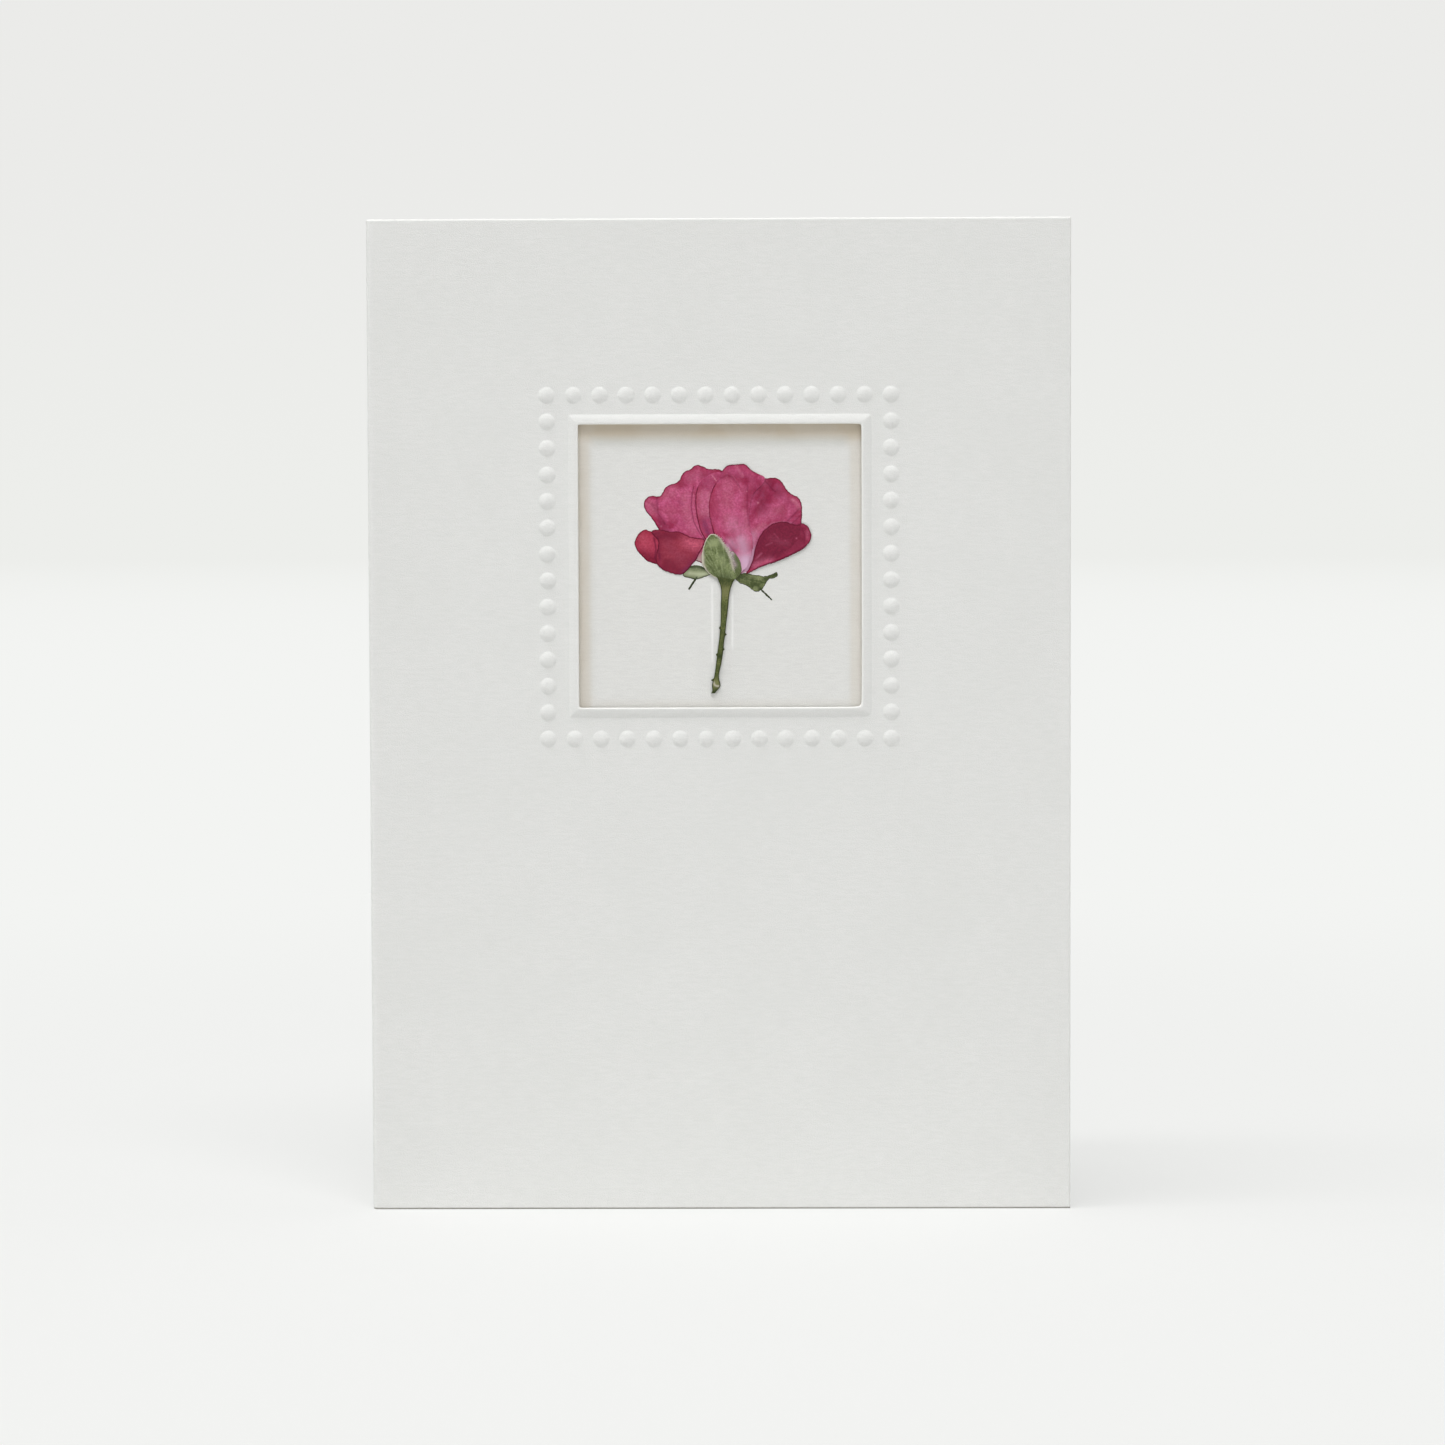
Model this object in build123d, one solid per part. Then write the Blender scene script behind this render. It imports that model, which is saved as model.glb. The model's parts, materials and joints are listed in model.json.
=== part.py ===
from build123d import *
import os
from math import cos, radians, sin

# A folded greeting card that stands on its edges, with a pressed flower behind a window.
# Millimetres. The origin is under the middle of the card, on the surface that it stands on.
# +Z is up, and the front panel faces -Y with its fold on the -X side.

# The folded sheet
panel_width = 105.0
panel_height = 148.5
sheet_thickness = 0.4
fold_inner_radius = 0.4
opening_angle = 35.0

# The square window in the front panel
window_side = 42.5
window_drop = 51.9
window_corner_radius = 0.3

# The embossed frame round the window: a steep foot, then a slope that flattens at the window
frame_band = 1.35
frame_rise = 0.4
foot_rise = 0.15
foot_run = 0.12
crown_rise = 0.1
crown_run = 0.75

# The embossed dots round the frame
dot_offset = 3.07
dot_pitch = 3.95
dot_diameter = 2.4
dot_rise = 0.3

# The sheet glued behind the window
backing_thickness = 0.3
glue_margin = 8.5

# The pressed flower, laid on the backing sheet in layers
flower_head_margin = 5.95
flower_foot_margin = 2.35
flower_shift = 1.0
petal_thickness = 0.1
sepal_thickness = 0.12

# The layers of the flower, from the backing sheet towards the viewer
back_layer = 0
overlap_layer = 1
centre_layer = 2
outer_layer = 3
front_layer = 4

# Outlines of the flower, clockwise from each base. Millimetres from the point where
# the stem meets the petals: the first number is across and the second is up.
BACK_LEFT_PETAL = [
    (-0.5, 1.0), (-3.4, 2.3), (-6.5, 3.5), (-8.5, 5.2), (-9.9, 7.2), (-11.1, 9.1),
    (-12.2, 10.9), (-12.0, 11.8), (-11.1, 12.3), (-9.8, 12.3), (-8.9, 13.6), (-7.0, 14.5),
    (-6.2, 15.8), (-5.2, 16.3), (-4.6, 16.8), (-3.7, 16.8), (-2.5, 16.3), (-0.7, 16.1),
    (-0.1, 15.3), (-0.5, 9.0), (-0.1, 4.0),
]
BACK_RIGHT_PETAL = [
    (1.3, 1.0), (1.4, 6.0), (2.6, 11.0), (4.4, 14.3), (6.3, 14.9), (7.8, 14.8), (8.9, 13.5),
    (9.7, 12.6), (10.9, 11.9), (11.3, 10.9), (11.3, 8.6), (11.1, 6.4), (9.6, 4.4),
    (6.2, 2.8), (4.2, 1.7), (2.9, 0.95),
]
OUTER_LEFT_PETAL = [
    (-10.3, 2.2), (-11.6, 2.6), (-12.9, 3.8), (-13.6, 5.2), (-13.2, 6.4), (-12.5, 7.1),
    (-12.05, 7.3), (-11.5, 7.1), (-9.9, 6.7), (-9.2, 5.4), (-9.2, 3.4),
]
BACK_MIDDLE_PETAL = [
    (-0.4, 1.3), (-2.2, 4.6), (-3.7, 7.0), (-4.3, 9.4), (-4.5, 11.8), (-4.0, 14.0),
    (-2.8, 15.2), (-1.2, 15.8), (0.2, 15.2), (0.8, 12.0), (0.6, 7.0), (0.3, 3.0),
]
FRONT_LEFT_PETAL = [
    (-7.0, 0.6), (-8.7, 1.0), (-10.3, 2.2), (-10.3, 4.0), (-10.2, 5.8), (-11.1, 6.9),
    (-9.2, 7.2), (-8.2, 6.9), (-7.3, 7.0), (-5.3, 6.2), (-3.1, 5.6), (-3.7, 4.3),
    (-4.3, 3.1), (-5.5, 1.6), (-6.3, 0.8),
]
CENTRE_PETAL = [
    (1.9, 0.75), (0.3, 2.3), (-1.0, 4.6), (-1.9, 7.2), (-2.4, 9.4), (-2.4, 11.8),
    (-1.7, 13.8), (-0.6, 15.7), (0.3, 16.8), (1.6, 16.95), (2.8, 17.0), (3.7, 16.2),
    (5.0, 15.5), (5.8, 14.9), (4.6, 13.2), (3.6, 10.8), (3.5, 8.0), (4.0, 5.2), (3.5, 2.6),
    (2.5, 0.95),
]
FRONT_RIGHT_PETAL = [
    (3.1, 0.9), (3.9, 2.4), (4.6, 5.1), (5.8, 7.2), (7.4, 8.2), (9.2, 8.3), (10.5, 7.95),
    (11.6, 8.1), (12.5, 7.2), (12.7, 5.9), (12.0, 4.8), (10.1, 3.6), (7.0, 2.3),
    (4.8, 1.5),
]
REAR_SEPAL = [
    (0.5, 0.2), (0.0, 1.4), (0.2, 3.1), (0.9, 4.0), (1.6, 3.4), (2.1, 2.4), (2.3, 1.3),
    (1.8, 0.3),
]
FRONT_SEPAL = [
    (0.2, -0.4), (-1.2, 0.0), (-2.6, 0.9), (-3.5, 2.3), (-3.5, 3.9), (-3.0, 5.5),
    (-2.1, 6.6), (-0.8, 5.8), (0.2, 4.3), (0.8, 2.6), (1.3, 1.2), (1.5, 0.1),
]
LEFT_SEPAL = [
    (-1.7, 0.6), (-2.5, 0.5), (-3.4, 0.2), (-4.4, -0.1), (-5.5, 0.1), (-6.4, 0.5),
    (-5.9, 1.3), (-5.0, 1.9), (-4.1, 1.9), (-3.0, 1.4), (-2.2, 0.9),
]
RIGHT_SEPAL = [
    (1.5, -0.2), (1.3, 0.3), (2.0, 0.65), (3.9, 0.6), (5.9, 0.3), (6.9, 0.6), (7.6, 0.9),
    (7.7, 0.4), (6.6, -0.1), (5.9, -0.8), (5.2, -1.8), (4.6, -2.0), (3.2, -1.2), (2.1, -0.7),
]
LEFT_BRISTLE = [(-4.3, 0.1), (-4.5, 0.15), (-5.62, -1.6), (-5.5, -1.65)]
RIGHT_BRISTLE = [(5.0, -1.7), (5.2, -1.5), (6.1, -2.35), (6.9, -3.3), (6.0, -2.6)]
STEM_LEFT = [
    (-1.4, 0.3), (-1.1, -0.4), (-0.8, -1.2), (-0.75, -3.4), (-0.8, -6.0), (-1.1, -9.5),
    (-1.6, -13.3), (-2.0, -15.4), (-2.15, -16.0), (-2.1, -16.5), (-2.3, -17.2),
]
STEM_RIGHT = [
    (-1.7, -17.2), (-1.3, -16.7), (-0.9, -16.1), (-1.05, -15.2), (-0.85, -13.3),
    (-0.3, -9.5), (0.1, -6.2), (0.4, -3.4), (0.8, -1.2), (1.1, -0.5), (1.3, -0.2),
]

# Worked out from the sizes above
turn = radians(opening_angle)
facing_viewer = 270
half_turn = 180
fold_outer_radius = fold_inner_radius + sheet_thickness
panel_run = panel_width - fold_outer_radius
emboss_rise = max(frame_rise, dot_rise)
card_depth = emboss_rise + fold_outer_radius * (1 + cos(turn)) + panel_run * sin(turn)
front_y = emboss_rise - card_depth / 2
inner_y = front_y + sheet_thickness
fold_x = fold_outer_radius - panel_width / 2
fold_y = front_y + fold_outer_radius
window_z = panel_height - window_drop
frame_side = window_side + 2 * frame_band
dot_ring_side = frame_side + 2 * dot_offset
layer_pitch = max(petal_thickness, sepal_thickness)
drawn_top = max(up for across, up in CENTRE_PETAL)
drawn_foot = min(up for across, up in STEM_LEFT)
flower_height = window_side - flower_head_margin - flower_foot_margin
flower_scale = flower_height / (drawn_top - drawn_foot)
flower_z = window_z - window_side / 2 + flower_foot_margin - drawn_foot * flower_scale


def facing_front(x, y, z):
    """A plane with the card's X across, Z up, and its normal towards the viewer."""
    return Plane(origin=(x, y, z), x_dir=(1, 0, 0), z_dir=(0, -1, 0))


def folded_sheet():
    """Both panels and the rounded fold between them, as one bent sheet."""
    sweep = opening_angle - half_turn
    edges = []
    front_ends = []
    back_ends = []
    for radius in (fold_outer_radius, fold_inner_radius):
        bend = CenterArc((fold_x, fold_y), radius, facing_viewer, sweep)
        front_end = Vector(fold_x + panel_run, fold_y - radius)
        back_end = (bend @ 1) + Vector(cos(turn), sin(turn)) * panel_run
        edges += [Line(front_end, bend @ 0), bend, Line(bend @ 1, back_end)]
        front_ends.append(front_end)
        back_ends.append(back_end)
    edges += [Line(*front_ends), Line(*back_ends)]
    return extrude(make_face(edges), amount=panel_height, dir=(0, 0, 1))


def square(side, y):
    """A square round the window's middle, with slightly rounded corners, at a depth."""
    return facing_front(0, y, window_z) * RectangleRounded(side, side, window_corner_radius)


def frame_relief(surface_y):
    """The embossed frame, as the solid that stands on a surface of the panel."""
    steps = [
        (frame_side, 0.0),
        (frame_side - 2 * foot_run, foot_rise),
        (window_side + 2 * crown_run, frame_rise - crown_rise),
        (window_side, frame_rise),
    ]
    layers = []
    for (low_side, low), (high_side, high) in zip(steps, steps[1:]):
        rings = [square(low_side, surface_y - low), square(high_side, surface_y - high)]
        layers.append(loft(rings, ruled=True))
    return layers


def dot_relief(surface_y):
    """The ring of embossed dots, as spherical caps that stand on a surface of the panel."""
    radius = ((dot_diameter / 2) ** 2 + dot_rise**2) / (2 * dot_rise)
    block = Pos(0, 0, radius) * Box(dot_diameter, dot_diameter, 2 * dot_rise)
    cap = Pos(0, 0, dot_rise - radius) * (Sphere(radius) & block)
    reach = dot_ring_side / 2
    count = round(dot_ring_side / dot_pitch)
    caps = []
    for step in range(count):
        along = step * dot_ring_side / count - reach
        for x, z in ((along, reach), (reach, -along), (-along, -reach), (-reach, along)):
            caps.append(facing_front(x, surface_y, window_z + z) * cap)
    return caps


def make_card():
    """The folded sheet with its window, and with the embossing raised in front and hollow behind."""
    card = folded_sheet() + frame_relief(front_y) + dot_relief(front_y)
    card = card - frame_relief(inner_y) - dot_relief(inner_y)
    through = sheet_thickness + frame_rise
    return card - extrude(square(window_side, front_y), amount=2 * through, both=True)


def make_backing_sheet():
    """The flat sheet glued behind the window, which carries the flower."""
    side = window_side + 2 * glue_margin
    middle_y = inner_y + backing_thickness / 2
    return Pos(0, middle_y, window_z) * Box(side, backing_thickness, side)


def on_flower(points, layer):
    """Drawn points of the flower, as places on one of its layers above the backing sheet."""
    height = layer * layer_pitch
    plane = facing_front(flower_shift, inner_y - height, flower_z)
    return [plane.from_local_coords((x * flower_scale, z * flower_scale, 0)) for x, z in points]


def leaf(outline, layer, thickness):
    """A thin flat petal or sepal inside a smooth closed outline."""
    edge = Spline(*on_flower(outline, layer), periodic=True)
    return extrude(make_face(edge), amount=thickness, dir=(0, -1, 0))


def bristle(outline, layer, thickness):
    """The thin dry tip of a sepal, with straight sides."""
    edge = Polyline(*on_flower(outline, layer), close=True)
    return extrude(make_face(edge), amount=thickness, dir=(0, -1, 0))


def make_stem():
    """The flattened stem, with the swollen head that carries the petals."""
    left = Spline(*on_flower(STEM_LEFT, 0))
    right = Spline(*on_flower(STEM_RIGHT, 0))
    edges = [left, Line(left @ 1, right @ 0), right, Line(right @ 1, left @ 0)]
    return extrude(make_face(edges), amount=front_layer * layer_pitch, dir=(0, -1, 0))


parts = {
    "card": make_card(),
    "backing_sheet": make_backing_sheet(),
    "back_left_petal": leaf(BACK_LEFT_PETAL, back_layer, petal_thickness),
    "back_right_petal": leaf(BACK_RIGHT_PETAL, back_layer, petal_thickness),
    "outer_left_petal": leaf(OUTER_LEFT_PETAL, back_layer, petal_thickness),
    "back_middle_petal": leaf(BACK_MIDDLE_PETAL, overlap_layer, petal_thickness),
    "front_left_petal": leaf(FRONT_LEFT_PETAL, overlap_layer, petal_thickness),
    "centre_petal": leaf(CENTRE_PETAL, centre_layer, petal_thickness),
    "front_right_petal": leaf(FRONT_RIGHT_PETAL, outer_layer, petal_thickness),
    "rear_sepal": leaf(REAR_SEPAL, outer_layer, sepal_thickness),
    "front_sepal": leaf(FRONT_SEPAL, front_layer, sepal_thickness),
    "left_sepal": leaf(LEFT_SEPAL, back_layer, sepal_thickness)
    + bristle(LEFT_BRISTLE, back_layer, sepal_thickness),
    "right_sepal": leaf(RIGHT_SEPAL, back_layer, sepal_thickness)
    + bristle(RIGHT_BRISTLE, back_layer, sepal_thickness),
    "stem": make_stem(),
}

os.makedirs("parts", exist_ok=True)
for name, solid in parts.items():
    export_step(solid, f"parts/{name}.step")
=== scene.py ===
"""The looks of a folded greeting card with a pressed flower behind its window.

Sizes in the classes are millimetres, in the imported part's frame: X to the right, Y away from
the viewer and Z up. Meshes are turned to metres when they are made.
"""

from __future__ import annotations

import json
import logging
import math
from dataclasses import dataclass, field
from enum import Enum

import bpy
import numpy as np
from mathutils import Euler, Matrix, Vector
from mathutils.geometry import delaunay_2d_cdt

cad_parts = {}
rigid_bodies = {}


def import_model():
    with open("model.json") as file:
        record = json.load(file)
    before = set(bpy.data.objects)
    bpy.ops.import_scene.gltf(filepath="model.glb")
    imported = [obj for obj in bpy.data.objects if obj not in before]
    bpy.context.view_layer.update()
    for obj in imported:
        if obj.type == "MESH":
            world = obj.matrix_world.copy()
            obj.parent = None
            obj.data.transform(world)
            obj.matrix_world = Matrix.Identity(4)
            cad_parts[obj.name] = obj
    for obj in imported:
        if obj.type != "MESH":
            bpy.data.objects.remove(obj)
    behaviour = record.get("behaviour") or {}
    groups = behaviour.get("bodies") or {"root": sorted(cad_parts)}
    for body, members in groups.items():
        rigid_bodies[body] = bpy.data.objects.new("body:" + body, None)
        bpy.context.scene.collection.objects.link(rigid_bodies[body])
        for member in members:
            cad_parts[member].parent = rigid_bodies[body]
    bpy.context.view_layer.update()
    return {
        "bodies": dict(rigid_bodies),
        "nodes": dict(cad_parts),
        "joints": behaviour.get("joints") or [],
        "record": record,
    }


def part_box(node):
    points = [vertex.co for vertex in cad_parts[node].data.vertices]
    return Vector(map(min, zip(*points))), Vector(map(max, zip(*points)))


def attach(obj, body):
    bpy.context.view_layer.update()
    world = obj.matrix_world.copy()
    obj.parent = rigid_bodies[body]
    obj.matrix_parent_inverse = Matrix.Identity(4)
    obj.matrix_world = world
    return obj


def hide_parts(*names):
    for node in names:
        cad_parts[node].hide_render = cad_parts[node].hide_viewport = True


MM = 0.001
NEARLY_NOTHING = 1e-12

# An uneven surface: how many waves it has, their lengths as shares, and what evens out their sum.
WAVES = 9
WAVE_LENGTHS = (0.6, 1.8)
WAVE_CALM = 4

# A packed outline: how near to the front its points lie, and the decimals that tell them apart.
FRONT_GAP = 0.001
OUTLINE_DECIMALS = 4

LOG = logging.getLogger("card")

Colour = tuple[float, float, float, float]
Place = tuple[float, float]
Pair = tuple[float, float]


def ink(red: int, green: int, blue: int) -> Colour:
    """Turns a colour as a screen shows it into the shader's linear scale.

    Args:
        red: Red, from 0 to 255.
        green: Green, from 0 to 255.
        blue: Blue, from 0 to 255.

    Returns:
        The linear colour with full alpha.
    """
    shares = [value / 255 for value in (red, green, blue)]
    linear = [s / 12.92 if s <= 0.04045 else ((s + 0.055) / 1.055) ** 2.4 for s in shares]
    return (linear[0], linear[1], linear[2], 1.0)


# Flat layouts


def fade(values: np.ndarray, low: float, high: float) -> np.ndarray:
    """Rises smoothly from 0 at low to 1 at high.

    Args:
        values: The numbers to map.
        low: Where the result is 0.
        high: Where the result is 1.

    Returns:
        The mapped numbers.
    """
    share = np.clip((values - low) / (high - low), 0, 1)
    return share * share * (3 - 2 * share)


def bell(gap: np.ndarray, width: float) -> np.ndarray:
    """Falls smoothly from 1, where the gap is 0, to nearly 0 at twice the width."""
    return np.exp(-((gap / width) ** 2))


def rounded(gap: np.ndarray, radius: float) -> np.ndarray:
    """How deep a rounded edge falls away.

    Args:
        gap: The distances from the edge.
        radius: The edge's radius.

    Returns:
        The depth at each distance, 0 beyond the radius.
    """
    short = np.clip(radius - gap, 0, radius)
    return radius - np.sqrt(radius**2 - short**2)


def distance_to(points: np.ndarray, path: np.ndarray, closed: bool = False) -> np.ndarray:
    """Measures how far points are from a path.

    Args:
        points: The points, one a row.
        path: The path's corners, one a row.
        closed: Whether the path's end joins its start.

    Returns:
        One distance for each point.
    """
    starts = path if closed else path[:-1]
    ends = np.roll(path, -1, axis=0) if closed else path[1:]
    if len(path) == 1:
        return np.hypot(*(points - path[0]).T)
    nearest = np.full(len(points), np.inf)
    for start, end in zip(starts, ends):
        run = end - start
        share = np.clip((points - start) @ run / max(run @ run, NEARLY_NOTHING), 0, 1)
        gap = points - start - share[:, None] * run
        nearest = np.minimum(nearest, np.einsum("ij,ij->i", gap, gap))
    return np.sqrt(nearest)


def inside(points: np.ndarray, loop: np.ndarray) -> np.ndarray:
    """Tells which points lie within a closed loop.

    Args:
        points: The points, one a row.
        loop: The loop's corners, one a row.

    Returns:
        True for each point within the loop.
    """
    found = np.zeros(len(points), bool)
    for (x1, y1), (x2, y2) in zip(loop, np.roll(loop, -1, axis=0)):
        if y1 == y2:
            continue
        spans = (points[:, 1] > min(y1, y2)) & (points[:, 1] <= max(y1, y2))
        crossing = x1 + (points[:, 1] - y1) * (x2 - x1) / (y2 - y1)
        found ^= spans & (points[:, 0] < crossing)
    return found


def evenly(path: np.ndarray, pitch: float, closed: bool = False) -> np.ndarray:
    """Places points along a path at an even pitch.

    Args:
        path: The path's corners, one a row.
        pitch: The distance between points.
        closed: Whether the path's end joins its start.

    Returns:
        The new points, one a row.
    """
    corners = np.vstack([path, path[:1]]) if closed else path
    along = np.concatenate([[0], np.cumsum(np.hypot(*np.diff(corners, axis=0).T))])
    count = max(int(round(along[-1] / pitch)), 3)
    stops = np.linspace(0, along[-1], count + 1)
    stops = stops[:-1] if closed else stops
    return np.stack([np.interp(stops, along, corners[:, k]) for k in range(2)], 1)


def rectangle(low: Place, high: Place, pitch: float, near: tuple[float, ...] = ()) -> np.ndarray:
    """Places points round a rectangle, with one at each corner.

    Args:
        low: The rectangle's lowest corner.
        high: The rectangle's highest corner.
        pitch: The distance between points.
        near: How far from each corner the side has further points.

    Returns:
        The points, one a row.
    """
    corners = np.array([low, (high[0], low[1]), high, (low[0], high[1])])
    sides = []
    for start, end in zip(corners, np.roll(corners, -1, axis=0)):
        reach = np.hypot(*(end - start))
        stops = np.linspace(0, reach, max(int(round(reach / pitch)), 2) + 1)[:-1]
        stops = np.unique(np.concatenate([stops, near, reach - np.array(near)]))
        sides.append(start + stops[:, None] * (end - start) / reach)
    return np.vstack(sides)


@dataclass
class Patch:
    """Points of a flat layout and the triangles that join them."""

    points: np.ndarray
    triangles: np.ndarray

    def rim(self) -> np.ndarray:
        """Finds the edges that only one triangle has.

        Returns:
            Pairs of point numbers, in the direction of their triangle.
        """
        corners = self.triangles
        edges = np.vstack([corners[:, [0, 1]], corners[:, [1, 2]], corners[:, [2, 0]]])
        keys = np.sort(edges, axis=1) @ np.array([len(self.points), 1])
        _, first, counts = np.unique(keys, return_index=True, return_counts=True)
        return edges[first[counts == 1]]


@dataclass
class Layout:
    """Collects points and lines on a plane and joins them into triangles."""

    points: list[np.ndarray] = field(default_factory=list)
    edges: list[tuple[int, int]] = field(default_factory=list)
    count: int = 0
    merge: float = 1e-5

    def scatter(self, points: np.ndarray) -> None:
        """Adds loose points, one a row."""
        self.points.append(np.asarray(points, float))
        self.count += len(points)

    def line(self, points: np.ndarray, closed: bool = False) -> None:
        """Adds a line that triangles don't cross.

        Args:
            points: The line's points, one a row.
            closed: Whether its end joins its start.
        """
        first = self.count
        self.scatter(points)
        last = self.count - 1
        self.edges += [(k, k + 1) for k in range(first, last)]
        if closed:
            self.edges.append((last, first))

    def fill(self, low: Place, high: Place, pitch: float, clearance: float) -> None:
        """Adds a grid of points over a rectangle, clear of the points that are there.

        Args:
            low: The rectangle's lowest corner.
            high: The rectangle's highest corner.
            pitch: The grid's pitch.
            clearance: How near to an earlier point a new one may be.
        """
        counts = [max(int((h - l) / pitch), 1) for l, h in zip(low, high)]
        rows = [np.linspace(l, h, n + 1) for l, h, n in zip(low, high, counts)]
        grid = np.stack(np.meshgrid(*rows), -1).reshape(-1, 2)
        self.scatter(grid[self.clear_of(grid, clearance)])

    def clear_of(self, grid: np.ndarray, clearance: float) -> np.ndarray:
        """Tells which points of a grid are clear of the layout's own.

        Args:
            grid: The points to test, one a row.
            clearance: The cell size within which two points are too near.

        Returns:
            True for each point that is clear.
        """
        taken = set()
        for x, y in np.floor(np.vstack(self.points) / clearance).astype(int):
            taken.update((x + i, y + j) for i in (-1, 0, 1) for j in (-1, 0, 1))
        cells = np.floor(grid / clearance).astype(int)
        return np.array([(x, y) not in taken for x, y in cells], bool)

    def join(self) -> Patch:
        """Joins all points into triangles that keep the lines.

        Returns:
            The patch.
        """
        flat = [Vector(point) for point in np.vstack(self.points)]
        found = delaunay_2d_cdt(flat, self.edges, [], 0, self.merge, False)
        points = np.array([tuple(point) for point in found[0]])
        return Patch(points, np.array(found[2], int))


def within(patch: Patch, keep: np.ndarray) -> Patch:
    """Drops triangles of a patch, and the points that no triangle then uses.

    Args:
        patch: The patch.
        keep: True for each triangle that stays.

    Returns:
        The smaller patch.
    """
    triangles = patch.triangles[keep]
    used, numbers = np.unique(triangles, return_inverse=True)
    return Patch(patch.points[used], numbers.reshape(-1, 3))


def middles(patch: Patch) -> np.ndarray:
    """The middle of each triangle of a patch."""
    return patch.points[patch.triangles].mean(axis=1)


def wrinkles(points: np.ndarray, length: float, seed: int) -> np.ndarray:
    """A gentle uneven surface, the same on each run.

    Args:
        points: The places to read, one a row.
        length: The length of a typical wave.
        seed: The number that picks the waves.

    Returns:
        Heights between about -1 and 1.
    """
    dice = np.random.default_rng(seed)
    total = np.zeros(len(points))
    for _ in range(WAVES):
        turn, phase = dice.uniform(0, 2 * math.pi, 2)
        wave = length * dice.uniform(*WAVE_LENGTHS)
        run = points @ np.array([math.cos(turn), math.sin(turn)])
        total += np.sin(2 * math.pi * run / wave + phase)
    return total / WAVE_CALM


# Meshes


def make_piece(name: str, points: np.ndarray, faces: np.ndarray | list,
               walls: int = 0) -> bpy.types.Object:
    """Makes a smooth mesh object.

    Args:
        name: The object's name.
        points: The vertices in millimetres, one a row.
        faces: The corners of each face.
        walls: How many of the last faces are shaded flat.

    Returns:
        The new object, linked to the scene.
    """
    mesh = bpy.data.meshes.new(name)
    mesh.from_pydata(np.asarray(points) * MM, [], [tuple(face) for face in faces])
    mesh.polygons.foreach_set("use_smooth", np.arange(len(faces)) < len(faces) - walls)
    mesh.update()
    piece = bpy.data.objects.new(name, mesh)
    bpy.context.scene.collection.objects.link(piece)
    return piece


def note(piece: bpy.types.Object, **values: np.ndarray) -> None:
    """Stores numbers and places for the vertices, for the material to read.

    Args:
        piece: The object.
        values: By attribute, a number or a row of three for each vertex. Where only the front
            is given, the back has the same.
    """
    for name, given in values.items():
        given = np.asarray(given, np.float32)
        given = np.concatenate([given] * (len(piece.data.vertices) // len(given)))
        kind, key = ("FLOAT", "value") if given.ndim == 1 else ("FLOAT_VECTOR", "vector")
        store = piece.data.attributes.new(name, kind, "POINT")
        store.data.foreach_set(key, given.ravel())


def shell(patch: Patch) -> np.ndarray:
    """Joins two copies of a patch, a front and a back, into one closed skin.

    Args:
        patch: The patch, whose triangles turn anticlockwise seen from the front.

    Returns:
        The triangles. The back's points come after the front's.
    """
    count = len(patch.points)
    back = patch.triangles[:, ::-1] + count
    rim = patch.rim()
    first = np.stack([rim[:, 1], rim[:, 0], rim[:, 0] + count], 1)
    second = np.stack([rim[:, 1], rim[:, 0] + count, rim[:, 1] + count], 1)
    return np.vstack([patch.triangles, back, first, second])


def dress(piece: bpy.types.Object, material: bpy.types.Material, slot: str, *nodes: str) -> None:
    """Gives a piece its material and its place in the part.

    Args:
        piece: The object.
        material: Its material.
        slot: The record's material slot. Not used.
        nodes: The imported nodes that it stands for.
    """
    piece.data.materials.append(material)
    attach(piece, "root")
    if nodes:
        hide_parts(*nodes)
    LOG.info("%s: %d faces", piece.name, len(piece.data.polygons))


def outline_of(node: bpy.types.Object) -> np.ndarray:
    """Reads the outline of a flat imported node, as seen from the front.

    Args:
        node: The node's object.

    Returns:
        The outline's X and Z in millimetres, one point a row.
    """
    mesh = node.data
    places = np.array([tuple(v.co) for v in mesh.vertices]) / MM
    front = places[:, 1] < places[:, 1].min() + FRONT_GAP
    rounded_off = np.round(places[:, [0, 2]], OUTLINE_DECIMALS)
    flat, numbers = np.unique(rounded_off, axis=0, return_inverse=True)
    numbers = numbers.ravel()
    sides = set()
    for face in mesh.polygons:
        corners = list(face.vertices)
        if all(front[corner] for corner in corners):
            found = [int(numbers[corner]) for corner in corners]
            sides.update(zip(found, found[1:] + found[:1]))
    follows = {a: b for a, b in sides if (b, a) not in sides}
    start = next(iter(follows))
    loop = [start]
    while follows[loop[-1]] != start:
        loop.append(follows[loop[-1]])
    return flat[loop]


# Shader nodes


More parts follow.
